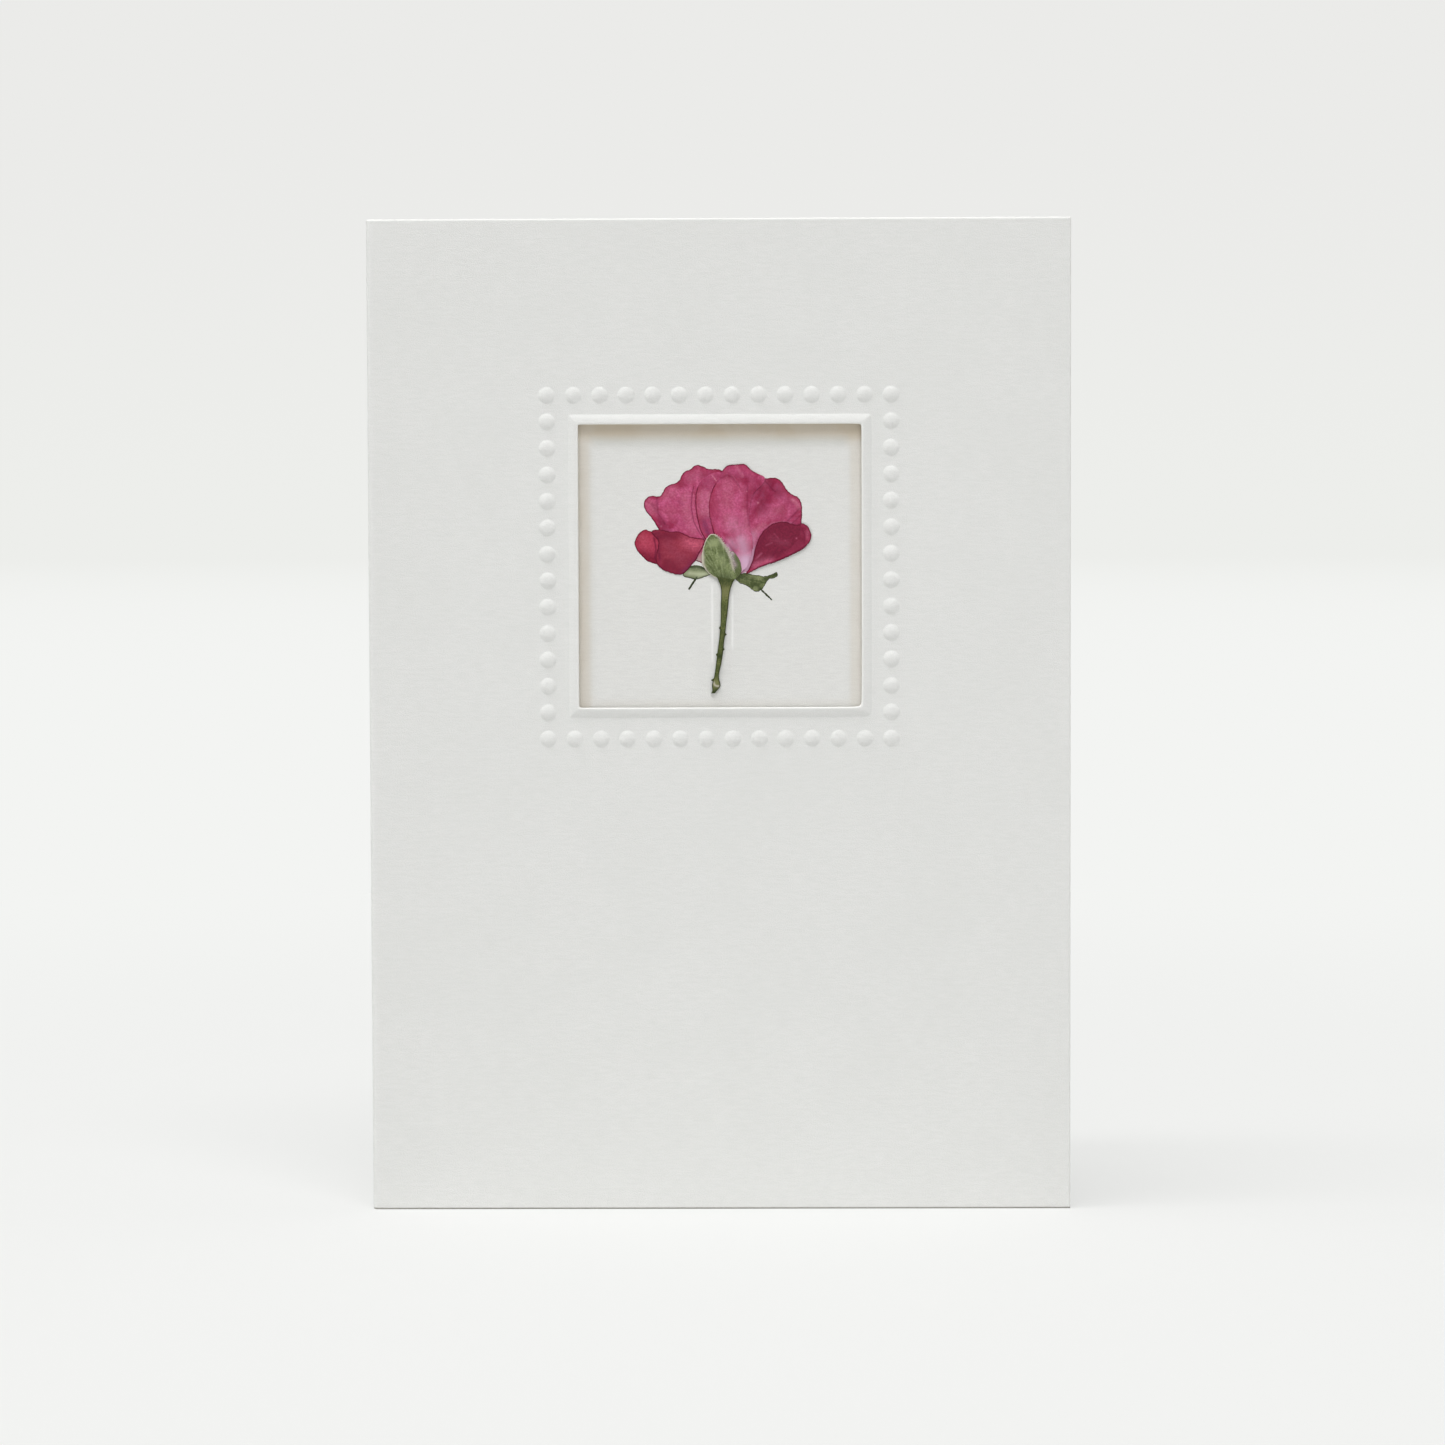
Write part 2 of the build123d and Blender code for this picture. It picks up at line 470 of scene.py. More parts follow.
@dataclass
class Graph:
    """Short calls that add and join the nodes of one material or group."""

    tree: bpy.types.NodeTree

    def add(self, kind: str, **settings: object) -> bpy.types.Node:
        """Adds a node.

        Args:
            kind: The node's type.
            settings: Its properties.

        Returns:
            The node.
        """
        node = self.tree.nodes.new(kind)
        for name, value in settings.items():
            setattr(node, name, value)
        return node

    def feed(self, socket: bpy.types.NodeSocket, value: object) -> None:
        """Joins an output to an input, or sets the input's own value.

        Args:
            socket: The input.
            value: The output, or the value.
        """
        if isinstance(value, bpy.types.NodeSocket):
            self.tree.links.new(value, socket)
        else:
            socket.default_value = value

    def read(self, name: str, output: str = "Fac") -> bpy.types.NodeSocket:
        """The values of a vertex attribute."""
        return self.add("ShaderNodeAttribute", attribute_name=name).outputs[output]

    def math(self, kind: str, first: object, second: object = 0.0) -> bpy.types.NodeSocket:
        """Combines two numbers.

        Args:
            kind: The operation.
            first: The first number or output.
            second: The second number or output.

        Returns:
            The result.
        """
        node = self.add("ShaderNodeMath", operation=kind)
        self.feed(node.inputs[0], first)
        self.feed(node.inputs[1], second)
        return node.outputs[0]

    def range(self, value: object, low: object, high: object, start: float = 0.0,
              end: float = 1.0) -> bpy.types.NodeSocket:
        """Maps a number smoothly from one range to another.

        Args:
            value: The number.
            low: Where the result is start.
            high: Where the result is end.
            start: The result at low.
            end: The result at high.

        Returns:
            The mapped number.
        """
        node = self.add("ShaderNodeMapRange", interpolation_type="SMOOTHSTEP")
        for socket, given in zip(node.inputs[:5], (value, low, high, start, end)):
            self.feed(socket, given)
        return node.outputs[0]

    def spread(self, pattern: object, start: float, end: float) -> bpy.types.NodeSocket:
        """Maps a pattern of 0 to 1 smoothly to another range."""
        return self.range(pattern, 0.0, 1.0, start, end)

    def mix(self, share: object, first: object, second: object,
            kind: str = "MIX") -> bpy.types.NodeSocket:
        """Mixes two colours.

        Args:
            share: How much of the second colour shows.
            first: The first colour.
            second: The second colour.
            kind: How they mix.

        Returns:
            The mixed colour.
        """
        node = self.add("ShaderNodeMix", data_type="RGBA", blend_type=kind)
        for number, given in ((0, share), (6, first), (7, second)):
            self.feed(node.inputs[number], given)
        return node.outputs[2]

    def share(self, *parts: object) -> object:
        """Multiplies shares.

        Args:
            parts: Numbers or outputs.

        Returns:
            Their product.
        """
        total = parts[0]
        for part in parts[1:]:
            total = self.math("MULTIPLY", total, part)
        return total

    def stretch(self, place: object, x: object, y: object) -> bpy.types.NodeSocket:
        """Divides a place by a size across and a size along.

        Args:
            place: The place.
            x: The size across.
            y: The size along.

        Returns:
            The stretched place.
        """
        sizes = self.add("ShaderNodeCombineXYZ")
        self.feed(sizes.inputs[0], x)
        self.feed(sizes.inputs[1], y)
        sizes.inputs[2].default_value = 1.0
        node = self.add("ShaderNodeVectorMath", operation="DIVIDE")
        self.feed(node.inputs[0], place)
        self.feed(node.inputs[1], sizes.outputs[0])
        return node.outputs[0]

    def noise(self, place: object, detail: float, bend: float = 0.0) -> bpy.types.NodeSocket:
        """An uneven pattern.

        Args:
            place: The place that it is read at, on which its waves are about 1 long.
            detail: How much finer pattern it has.
            bend: How much it is bent out of shape.

        Returns:
            The pattern, from 0 to 1.
        """
        node = self.add("ShaderNodeTexNoise")
        self.feed(node.inputs["Vector"], place)
        node.inputs["Scale"].default_value = 1.0
        node.inputs["Detail"].default_value = detail
        node.inputs["Distortion"].default_value = bend
        return node.outputs["Fac"]

    def bump(self, height: object, strength: float, depth: float) -> bpy.types.NodeSocket:
        """A bumpy normal.

        Args:
            height: The height pattern.
            strength: How strongly it shows.
            depth: The height of 1, in metres.

        Returns:
            The normal.
        """
        node = self.add("ShaderNodeBump")
        node.inputs["Strength"].default_value = strength
        node.inputs["Distance"].default_value = depth
        self.feed(node.inputs["Height"], height)
        return node.outputs["Normal"]

    def use(self, group: bpy.types.NodeTree, **values: object) -> bpy.types.NodeOutputs:
        """Places a node group and sets its inputs.

        Args:
            group: The group.
            values: Its inputs, by their names in small letters.

        Returns:
            Its outputs.
        """
        node = self.add("ShaderNodeGroup", node_tree=group)
        for name, value in values.items():
            self.feed(node.inputs[name.title()], value)
        return node.outputs


class Kind(Enum):
    """The kinds of socket that an effect has."""

    NUMBER = "NodeSocketFloat"
    PLACE = "NodeSocketVector"


def new_effect(name: str, inputs: dict[str, Kind], outputs: list[str]) -> tuple:
    """Starts a node group with named sockets.

    Args:
        name: The group's name.
        inputs: Its inputs and their kinds.
        outputs: The names of its outputs, all numbers.

    Returns:
        The group, its graph, its inputs by name, and the node that its outputs go to.
    """
    group = bpy.data.node_groups.new(name, "ShaderNodeTree")
    for title, kind in inputs.items():
        group.interface.new_socket(title, in_out="INPUT", socket_type=kind.value)
    for title in outputs:
        group.interface.new_socket(title, in_out="OUTPUT", socket_type=Kind.NUMBER.value)
    graph = Graph(group)
    given = graph.add("NodeGroupInput").outputs
    return group, graph, given, graph.add("NodeGroupOutput")


@dataclass
class Effects:
    """The shared effects, each a node group that is built once."""

    streak_length: float = 5.0
    streak_share: float = 0.3
    grain_share: float = 0.7
    fleck_size: float = 0.2
    solid_line: float = 0.4
    felt: bpy.types.NodeTree = field(init=False)
    mottle: bpy.types.NodeTree = field(init=False)
    veins: bpy.types.NodeTree = field(init=False)
    margin: bpy.types.NodeTree = field(init=False)

    def __post_init__(self) -> None:
        """Builds the groups."""
        self.felt = self.make_felt()
        self.mottle = self.make_mottle()
        self.veins = self.make_veins()
        self.margin = self.make_margin()

    def make_felt(self) -> bpy.types.NodeTree:
        """The felt texture of thick paper: short level streaks over a fine grain.

        Returns:
            The group.
        """
        inputs = {"Place": Kind.PLACE, "Streak": Kind.NUMBER, "Grain": Kind.NUMBER}
        group, graph, given, result = new_effect("paper_felt", inputs, ["Height", "Tone"])
        length = graph.share(given["Streak"], self.streak_length)
        streaks = graph.noise(graph.stretch(given["Place"], length, given["Streak"]), detail=2.0, bend=0.3)
        grain = graph.noise(graph.stretch(given["Place"], given["Grain"], given["Grain"]), detail=3.0)
        height = graph.math(
            "ADD", graph.share(streaks, self.streak_share), graph.share(grain, self.grain_share))
        graph.feed(result.inputs["Height"], height)
        graph.feed(result.inputs["Tone"], graph.range(height, low=0.35, high=0.65))
        return group

    def make_mottle(self) -> bpy.types.NodeTree:
        """Soft uneven patches of two sizes.

        Returns:
            The group.
        """
        inputs = {"Place": Kind.PLACE, "Size": Kind.NUMBER}
        group, graph, given, result = new_effect("mottling", inputs, ["Mask", "Fleck"])
        place, size = given["Place"], given["Size"]
        coarse = graph.noise(graph.stretch(place, size, size), detail=4.0, bend=0.4)
        small = graph.share(size, self.fleck_size)
        fine = graph.noise(graph.stretch(place, small, small), detail=4.0)
        graph.feed(result.inputs["Mask"], graph.range(coarse, low=0.34, high=0.66))
        graph.feed(result.inputs["Fleck"], graph.range(fine, low=0.3, high=0.7))
        return group

    def make_veins(self) -> bpy.types.NodeTree:
        """Fine lines that fan out from a base, which waver and join.

        Returns:
            The group.
        """
        inputs = {"Fan": Kind.PLACE, "Pitch": Kind.NUMBER, "Run": Kind.NUMBER, "Line": Kind.NUMBER}
        group, graph, given, result = new_effect("fanned_veins", inputs, ["Veins", "Streaks"])
        pattern = graph.noise(graph.stretch(given["Fan"], given["Pitch"], given["Run"]), detail=2.0, bend=0.6)
        gap = graph.math("ABSOLUTE", graph.math("SUBTRACT", pattern, 0.5))
        graph.feed(result.inputs["Veins"], graph.range(gap, 0.0, given["Line"], 1.0, 0.0))
        graph.feed(result.inputs["Streaks"], graph.range(pattern, low=0.3, high=0.7))
        return group

    def make_margin(self) -> bpy.types.NodeTree:
        """A fine line and a soft band along the edge of a pressed piece.

        Returns:
            The group.
        """
        inputs = {"Edge": Kind.NUMBER, "Line": Kind.NUMBER, "Band": Kind.NUMBER}
        group, graph, given, result = new_effect("dried_margin", inputs, ["Line", "Band"])
        solid = graph.share(given["Line"], self.solid_line)
        graph.feed(result.inputs["Line"], graph.range(given["Edge"], solid, given["Line"], 1.0, 0.0))
        graph.feed(result.inputs["Band"], graph.range(given["Edge"], 0.0, given["Band"], 1.0, 0.0))
        return group


class Coat:
    """A material in the making, with the colour that has been laid on it so far."""

    def __init__(self, name: str) -> None:
        """Starts the material.

        Args:
            name: Its name.
        """
        self.material = bpy.data.materials.new(name)
        self.material.use_nodes = True
        self.graph = Graph(self.material.node_tree)
        self.graph.tree.nodes.clear()
        self.shader = self.graph.add("ShaderNodeBsdfPrincipled")
        self.result = self.graph.add("ShaderNodeOutputMaterial")
        self.graph.feed(self.result.inputs["Surface"], self.shader.outputs["BSDF"])
        self.colour: object = None

    def base(self, pattern: object, first: Colour, second: Colour) -> None:
        """Lays the first colour, which changes to a second one over a pattern."""
        self.colour = self.graph.mix(pattern, first, second)

    def lay(self, colour: Colour, *shares: object) -> None:
        """Lays one more colour over the others.

        Args:
            colour: The colour.
            shares: How much of it shows, as numbers and outputs to multiply.
        """
        self.colour = self.graph.mix(self.graph.share(*shares), self.colour, colour)

    def rough(self, pattern: object, start: float, end: float) -> None:
        """Makes it as rough as start where a pattern is 0, and as end where it is 1."""
        self.graph.feed(self.shader.inputs["Roughness"], self.graph.spread(pattern, start, end))

    def raise_up(self, height: object, strength: float, depth: float) -> None:
        """Makes it bumpy.

        Args:
            height: The height pattern.
            strength: How strongly it shows.
            depth: The height of 1, in metres.
        """
        self.graph.feed(self.shader.inputs["Normal"], self.graph.bump(height, strength, depth))

    def close(self, gloss: float | None = None) -> bpy.types.Material:
        """Ends the material.

        Args:
            gloss: How strongly it mirrors, unless that is the usual.

        Returns:
            The material.
        """
        self.graph.feed(self.shader.inputs["Base Color"], self.colour)
        if gloss is not None:
            self.shader.inputs["Specular IOR Level"].default_value = gloss
        return self.material


# Finishes


@dataclass(frozen=True)
class CardStock:
    """Thick white paper with a felt texture, a creamy cut edge and a painted contact shadow along its foot.
    """

    white: Colour = ink(244, 244, 242)
    shade: Colour = ink(236, 237, 234)
    core: Colour = ink(248, 248, 245)
    # The colour of the painted contact shadow along the card's foot.
    foot_shadow: Colour = ink(158, 155, 146)
    patchiness: float = 0.3

    def make(self, effects: Effects) -> bpy.types.Material:
        """Builds the material.

        Args:
            effects: The shared effects.

        Returns:
            The material.
        """
        coat = Coat("card_stock")
        graph, place = coat.graph, coat.graph.read("sheet", "Vector")
        felt = graph.use(effects.felt, place=place, streak=0.4, grain=0.16)
        patches = graph.use(effects.mottle, place=place, size=14.0)
        coat.base(felt["Tone"], self.shade, self.white)
        coat.lay(self.shade, patches["Mask"], self.patchiness)
        coat.lay(self.core, graph.read("cut"))
        # Painted contact shadow along the card's foot.
        coat.lay(self.foot_shadow, graph.read("foot"))
        coat.rough(felt["Tone"], start=0.92, end=0.82)
        coat.raise_up(felt["Height"], strength=0.9, depth=0.00008)
        return coat.close(gloss=0.25)


@dataclass(frozen=True)
class BackingPaper:
    """Smooth white paper, with warm painted shade close to the window's edges and grey painted shade further
    in.
    """

    white: Colour = ink(243, 243, 240)
    shade: Colour = ink(233, 233, 230)
    # Painted shade under the window's lip: warm close to the edges and grey further in.
    warm: Colour = ink(213, 200, 179)
    grey_shade: Colour = ink(201, 201, 192)
    # Painted highlight along the raised creases.
    crease_highlight: Colour = ink(254, 254, 252)

    def make(self, effects: Effects) -> bpy.types.Material:
        """Builds the material.

        Args:
            effects: The shared effects.

        Returns:
            The material.
        """
        coat = Coat("backing_paper")
        graph, place = coat.graph, coat.graph.read("sheet", "Vector")
        felt = graph.use(effects.felt, place=place, streak=0.35, grain=0.14)
        patches = graph.use(effects.mottle, place=place, size=6.0)
        coat.base(felt["Tone"], self.shade, self.white)
        # Painted shade in the recess under the window's lip, warm near the edges and grey further in.
        tone = graph.mix(graph.read("warmth"), self.grey_shade, self.warm)
        coat.lay(tone, graph.read("toned"), graph.spread(patches["Mask"], start=0.85, end=1.0))
        # Painted highlight along the creases.
        coat.lay(self.crease_highlight, graph.read("crease"))
        coat.rough(felt["Tone"], start=0.92, end=0.84)
        coat.raise_up(felt["Height"], strength=0.8, depth=0.00008)
        return coat.close(gloss=0.25)


@dataclass(frozen=True)
class PetalSkin:
    """A pressed petal: stained, veined, darker at its margin and where petals overlap."""

    name: str
    body: Colour = ink(216, 100, 148)
    blush: Colour = ink(171, 52, 92)
    rim: Colour = ink(176, 52, 86)
    line: Colour = ink(98, 22, 46)
    wine: Colour = ink(112, 26, 52)
    plum: Colour = ink(116, 50, 92)
    pale: Colour = ink(224, 184, 212)
    light: Colour = ink(226, 138, 168)
    fold: Colour = ink(112, 28, 58)
    vein: Colour = ink(158, 48, 92)
    rim_line: float = 0.22
    rim_band: float = 1.1
    veining: float = 0.25
    streaking: float = 0.14
    grain: float = 0.42
    speck_size: float = 0.26
    speckle: float = 0.16

    def make(self, effects: Effects) -> bpy.types.Material:
        """Builds the material.

        Args:
            effects: The shared effects.

        Returns:
            The material.
        """
        coat = Coat(self.name)
        graph, place = coat.graph, coat.graph.read("flat", "Vector")
        patches = graph.use(effects.mottle, place=place, size=1.7)
        veins = graph.use(effects.veins, fan=graph.read("fan", "Vector"), pitch=0.055, run=9.0, line=0.03)
        margin = graph.use(
            effects.margin, edge=graph.read("edge"), line=self.rim_line, band=self.rim_band)
        mask, fleck, fine = patches["Mask"], patches["Fleck"], veins["Streaks"]
        specks = graph.noise(graph.stretch(place, self.speck_size, self.speck_size), detail=1.0)
        hard = graph.range(graph.read("soft"), low=0.0, high=0.7, start=1.0, end=0.0)
        patchy = graph.spread(mask, start=0.6, end=1.0)
        coat.base(mask, self.body, self.blush)
        coat.lay(self.rim, margin["Band"], patchy, hard)
        coat.lay(self.vein, veins["Veins"], self.veining)
        coat.lay(self.light, fine, self.streaking)
        coat.lay(self.wine, graph.read("wine"))
        coat.lay(self.plum, graph.read("plum"), graph.spread(fine, start=0.5, end=1.0))
        coat.lay(self.light, graph.read("light"), patchy)
        coat.lay(self.rim, fleck, self.grain)
        coat.lay(self.line, graph.range(specks, low=0.36, high=0.64), self.speckle)
        coat.lay(self.pale, graph.read("pale"))
        coat.lay(self.fold, graph.read("fold"))
        coat.lay(self.line, margin["Line"], hard, graph.spread(fleck, start=0.65, end=1.0))
        coat.rough(mask, start=0.6, end=0.75)
        coat.raise_up(graph.share(graph.math("ADD", fine, fleck), 0.5), strength=0.35, depth=0.00003)
        return coat.close(gloss=0.1)


@dataclass(frozen=True)
class SepalSkin:
    """A pressed sepal: green, streaked along its length, with a paler or darker margin."""

    name: str
    body: Colour = ink(112, 122, 74)
    shade: Colour = ink(78, 90, 50)
    light: Colour = ink(156, 164, 118)
    margin: Colour = ink(206, 200, 182)
    pale: Colour = ink(214, 206, 190)
    fold: Colour = ink(44, 56, 34)
    line: float = 0.16
    streaks: float = 0.5
    veining: float = 0.5
    flecks: float = 0.45
    streak_height: float = 0.6
    fleck_height: float = 0.4

    def make(self, effects: Effects) -> bpy.types.Material:
        """Builds the material.

        Args:
            effects: The shared effects.

        Returns:
            The material.
        """
        coat = Coat(self.name)
        graph, place = coat.graph, coat.graph.read("flat", "Vector")
        patches = graph.use(effects.mottle, place=place, size=1.1)
        veins = graph.use(effects.veins, fan=graph.read("fan", "Vector"), pitch=0.085, run=3.0, line=0.05)
        margin = graph.use(effects.margin, edge=graph.read("edge"), line=self.line, band=0.7)
        fine, fleck = veins["Streaks"], patches["Fleck"]
        coat.base(patches["Mask"], self.body, self.shade)
        coat.lay(self.light, fine, self.streaks)
        coat.lay(self.shade, veins["Veins"], self.veining)
        coat.lay(self.shade, fleck, self.flecks)
        coat.lay(self.light, graph.read("light"))
        coat.lay(self.pale, graph.read("pale"))
        coat.lay(self.fold, graph.read("fold"))
        coat.lay(self.margin, margin["Line"], graph.spread(graph.read("soft"), start=1.0, end=0.0))
        coat.rough(fine, start=0.6, end=0.8)
        height = graph.math(
            "ADD", graph.share(fine, self.streak_height), graph.share(fleck, self.fleck_height))
        coat.raise_up(height, strength=0.6, depth=0.00006)
        return coat.close(gloss=0.12)


@dataclass(frozen=True)
class HairSkin:
    """The fine dry hairs on the sepals."""

    name: str
    root: Colour
    tip: Colour

    def make(self, effects: Effects) -> bpy.types.Material:
        """Builds the material.

        Args:
            effects: The shared effects.

        Returns:
            The material.
        """
        coat = Coat(self.name)
        graph = coat.graph
        patches = graph.use(effects.mottle, place=graph.read("flat", "Vector"), size=0.8)
        coat.base(graph.share(graph.read("along"), patches["Mask"]), self.root, self.tip)
        coat.rough(patches["Mask"], start=0.5, end=0.7)
        return coat.close()


# The card


@dataclass
class FoldedCard:
    """The folded sheet, with its window and the embossing round it."""

    width: float = 105.0
    height: float = 148.5
    sheet: float = 0.4
    bend: float = 0.8
    opening: float = 35.0
    rise: float = 0.4
    window: float = 42.3
    window_drop: float = 51.9
    window_shift: Place = (0.13, 0.16)
    band: float = 1.47
    corners: tuple[float, ...] = (0.12, 0.3, 0.2, 0.5)
    dot_ring: float = 51.34
    dots_a_side: int = 13
    dot_radius: float = 1.24
    dot_rise: float = 0.3
    dot_dome: float = 2.3
    cut_round: float = 0.32
    window_round: float = 0.22
    inner_round: float = 0.07
    fold_steps: int = 16
    fold_rows: int = 50
    pitch: float = 3.0
    clearance: float = 1.0
    insets: tuple[float, ...] = (0.0, 0.02, 0.06, 0.12, 0.18, 0.24, 0.32, 0.42, 0.6)
    lip_gaps: tuple[float, ...] = (0, 0.02, 0.06, 0.12, 0.18, 0.24, 0.32, 0.5, 0.68, 0.75, 0.82, 1.0)
    foot_gaps: tuple[float, ...] = (1.14, 1.2, 1.24, 1.28, 1.32, 1.37, 1.42, 1.5, 1.6, 1.8)
    corner_steps: int = 22
    dot_shares: tuple[float, ...] = (0.2, 0.4, 0.6, 0.76, 0.88, 0.96, 1.03, 1.12, 1.25, 1.4)
    dot_spokes: int = 28
    dot_blend: float = 0.0001
    cut_fade: Pair = (0.1, 0.34)
    # How far up the card the painted contact shadow at its foot fades out.
    foot_shadow_fade: Pair = (0.08, 0.36)

    @property
    def run(self) -> float:
        """The flat length of a panel, from its free edge to the fold."""
        return self.width - self.bend

    @property
    def middle(self) -> float:
        """Where the panel's middle is, as distance along the sheet."""
        return self.run + self.bend - self.width / 2

    @property
    def length(self) -> float:
        """The flat length of the whole sheet, measured on its outer face."""
        return 2 * self.run + self.bend * self.turn

    @property
    def turn(self) -> float:
        """How far the sheet turns in the fold, in radians."""
        return math.radians(180 - self.opening)

    @property
    def front(self) -> float:
        """The Y of the front panel's face."""
        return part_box("card")[0].y / MM + self.rise

    @property
    def frame_middle(self) -> Place:
        """The middle of the ring of dots, as X and Z."""
        return 0.0, self.height - self.window_drop

    @property
    def window_middle(self) -> Place:
        """The middle of the opening between its rounded lips, as X and Z."""
        return self.window_shift[0], self.height - self.window_drop + self.window_shift[1]

    def from_window(self, x: np.ndarray, z: np.ndarray) -> np.ndarray:
        """Measures how far points are outside the window's edge.

        Args:
            x: The points' X.
            z: The points' Z.

        Returns:
            The distances, negative in the window.
        """
        mx, mz = self.window_middle
        across, up = x - mx, z - mz
        upper = np.where(across < 0, *self.corners[:2])
        soft = np.where(up > 0, upper, np.where(across < 0, *self.corners[2:]))
        across, up = abs(across), abs(up)
        return (across + up + np.sqrt((across - up) ** 2 + soft**2)) / 2 - self.window / 2

    def ring(self, gap: float) -> np.ndarray:
        """A closed line at one distance from the window's edge.

        Args:
            gap: The distance, outwards.

        Returns:
            The line's points, as distance along the sheet and height.
        """
        reach = self.window / 2 + gap
        mx, mz = self.window_middle
        top_left, top_right, low_left, low_right = self.corners
        loop = []
        sides = ((1, -1, low_right), (1, 1, top_right), (-1, 1, top_left), (-1, -1, low_left))
        for x_sign, z_sign, soft in sides:
            rest = np.geomspace(soft / 2, reach, self.corner_steps)
            other = soft**2 / 4 / rest
            rising = [(reach - o, reach - r) for r, o in zip(rest[::-1], other[::-1])]
            falling = [(reach - r, reach - o) for r, o in zip(rest[1:], other[1:])]
            arm = rising[1:] + falling
            if x_sign * z_sign < 0:
                arm = arm[::-1]
            loop += [(self.middle - mx - x_sign * a, mz + z_sign * b) for a, b in arm]
        return np.array(loop)

    def dots(self) -> np.ndarray:
        """The places of the embossed dots.

        Returns:
            Their X and Z, one dot a row.
        """
        reach = self.dot_ring / 2
        places = []
        for step in range(self.dots_a_side):
            along = step * self.dot_ring / self.dots_a_side - reach
            places += [(along, reach), (reach, -along), (-along, -reach), (-reach, along)]
        return np.array(places) + self.frame_middle

    def relief(self, x: np.ndarray, z: np.ndarray) -> np.ndarray:
        """The height of the embossing on the front panel.

        Args:
            x: The points' X.
            z: The points' Z.

        Returns:
            The heights.
        """
        share = np.clip(self.from_window(x, z) / self.band, 0, 1)
        total = self.rise * (1 - share**2)
        for mx, mz in self.dots():
            near = np.hypot(x - mx, z - mz)
            close = near < 2 * self.dot_radius
            cap = self.dot_rise * (1 - (near[close] / self.dot_radius) ** self.dot_dome)
            total[close] += (cap + np.sqrt(cap**2 + self.dot_blend)) / 2
        return total

    def place(self, along: np.ndarray, up: np.ndarray, depth: np.ndarray) -> np.ndarray:
        """Bends points of the flat sheet into the folded one.

        Args:
            along: Distance from the front panel's free edge, round the outside.
            up: Height.
            depth: Depth below the outer face.

        Returns:
            The points in space, one a row.
        """
        angle = np.clip((along - self.run) / self.bend, 0, self.turn)
        flat = np.minimum(along, self.run)
        beyond = np.maximum(along - self.run - self.bend * self.turn, 0)
        radius = self.bend - depth
        x = self.middle - flat - radius * np.sin(angle) - beyond * math.cos(self.turn)
        y = self.front + self.bend - radius * np.cos(angle) + beyond * math.sin(self.turn)
        return np.stack([x, y, up], 1)

    def layout(self) -> Patch:
        """Lays out the sheet flat: rows along its edges, rings round the window and dots.

        Returns:
            The patch, with the window left open.
        """
        layout = Layout()
        for inset in self.insets:
            near = tuple(other - inset for other in self.insets if other > inset)
            high = (self.length - inset, self.height - inset)
            layout.line(rectangle((inset, inset), high, self.pitch, near), closed=True)
        ups = np.linspace(0, self.height, self.fold_rows + 1)
        for step in range(-1, self.fold_steps + 2):
            along = self.run + step * self.bend * self.turn / self.fold_steps
            layout.line(np.stack([np.full(len(ups), along), ups], 1))
        for gap in self.lip_gaps + self.foot_gaps:
            layout.line(self.ring(gap), closed=True)
        spokes = np.linspace(0, 2 * math.pi, self.dot_spokes, endpoint=False)
        for x, z in self.dots():
            dot = np.array([self.middle - x, z])
            layout.scatter(dot[None])
            for share in self.dot_shares:
                ring = share * self.dot_radius * np.stack([np.cos(spokes), np.sin(spokes)], 1)
                layout.line(dot + ring, closed=True)
        clear = self.pitch / 2
        high = (self.length - clear, self.height - clear)
        layout.fill((clear, clear), high, self.pitch, self.clearance)
        patch = layout.join()
        x = self.middle - middles(patch)[:, 0]
        return within(patch, self.from_window(x, middles(patch)[:, 1]) > 0)

    def build(self, finish: bpy.types.Material) -> bpy.types.Object:
        """Makes the sheet.

        Args:
            finish: Its material.

        Returns:
            The object.
        """
        patch = self.layout()
        along, up = patch.points.T
        x = self.middle - along
        flat = along < self.run
        relief = np.where(flat, self.relief(x, up), 0)
        from_rim = np.minimum.reduce([along, self.length - along, up, self.height - up])
        from_window = np.where(flat, np.maximum(self.from_window(x, up), 0), self.width)
        outer = rounded(from_rim, self.cut_round) + rounded(from_window, self.window_round) - relief
        inner = self.sheet - relief - rounded(from_rim, self.inner_round)
        faces = [self.place(along, up, depth) for depth in (outer, inner)]
        from_cut = np.minimum(from_rim, from_window)
        turned = Patch(patch.points, patch.triangles[:, ::-1])
        piece = make_piece("card_sheet", np.vstack(faces), shell(turned), 2 * len(turned.rim()))
        # foot: where the painted contact shadow along the card's foot lies.
        note(piece, sheet=np.stack([along, up, np.zeros(len(up))], 1),
             cut=1 - fade(from_cut, *self.cut_fade), foot=1 - fade(up, *self.foot_shadow_fade))
        dress(piece, finish, "card_stock", "card")
        return piece


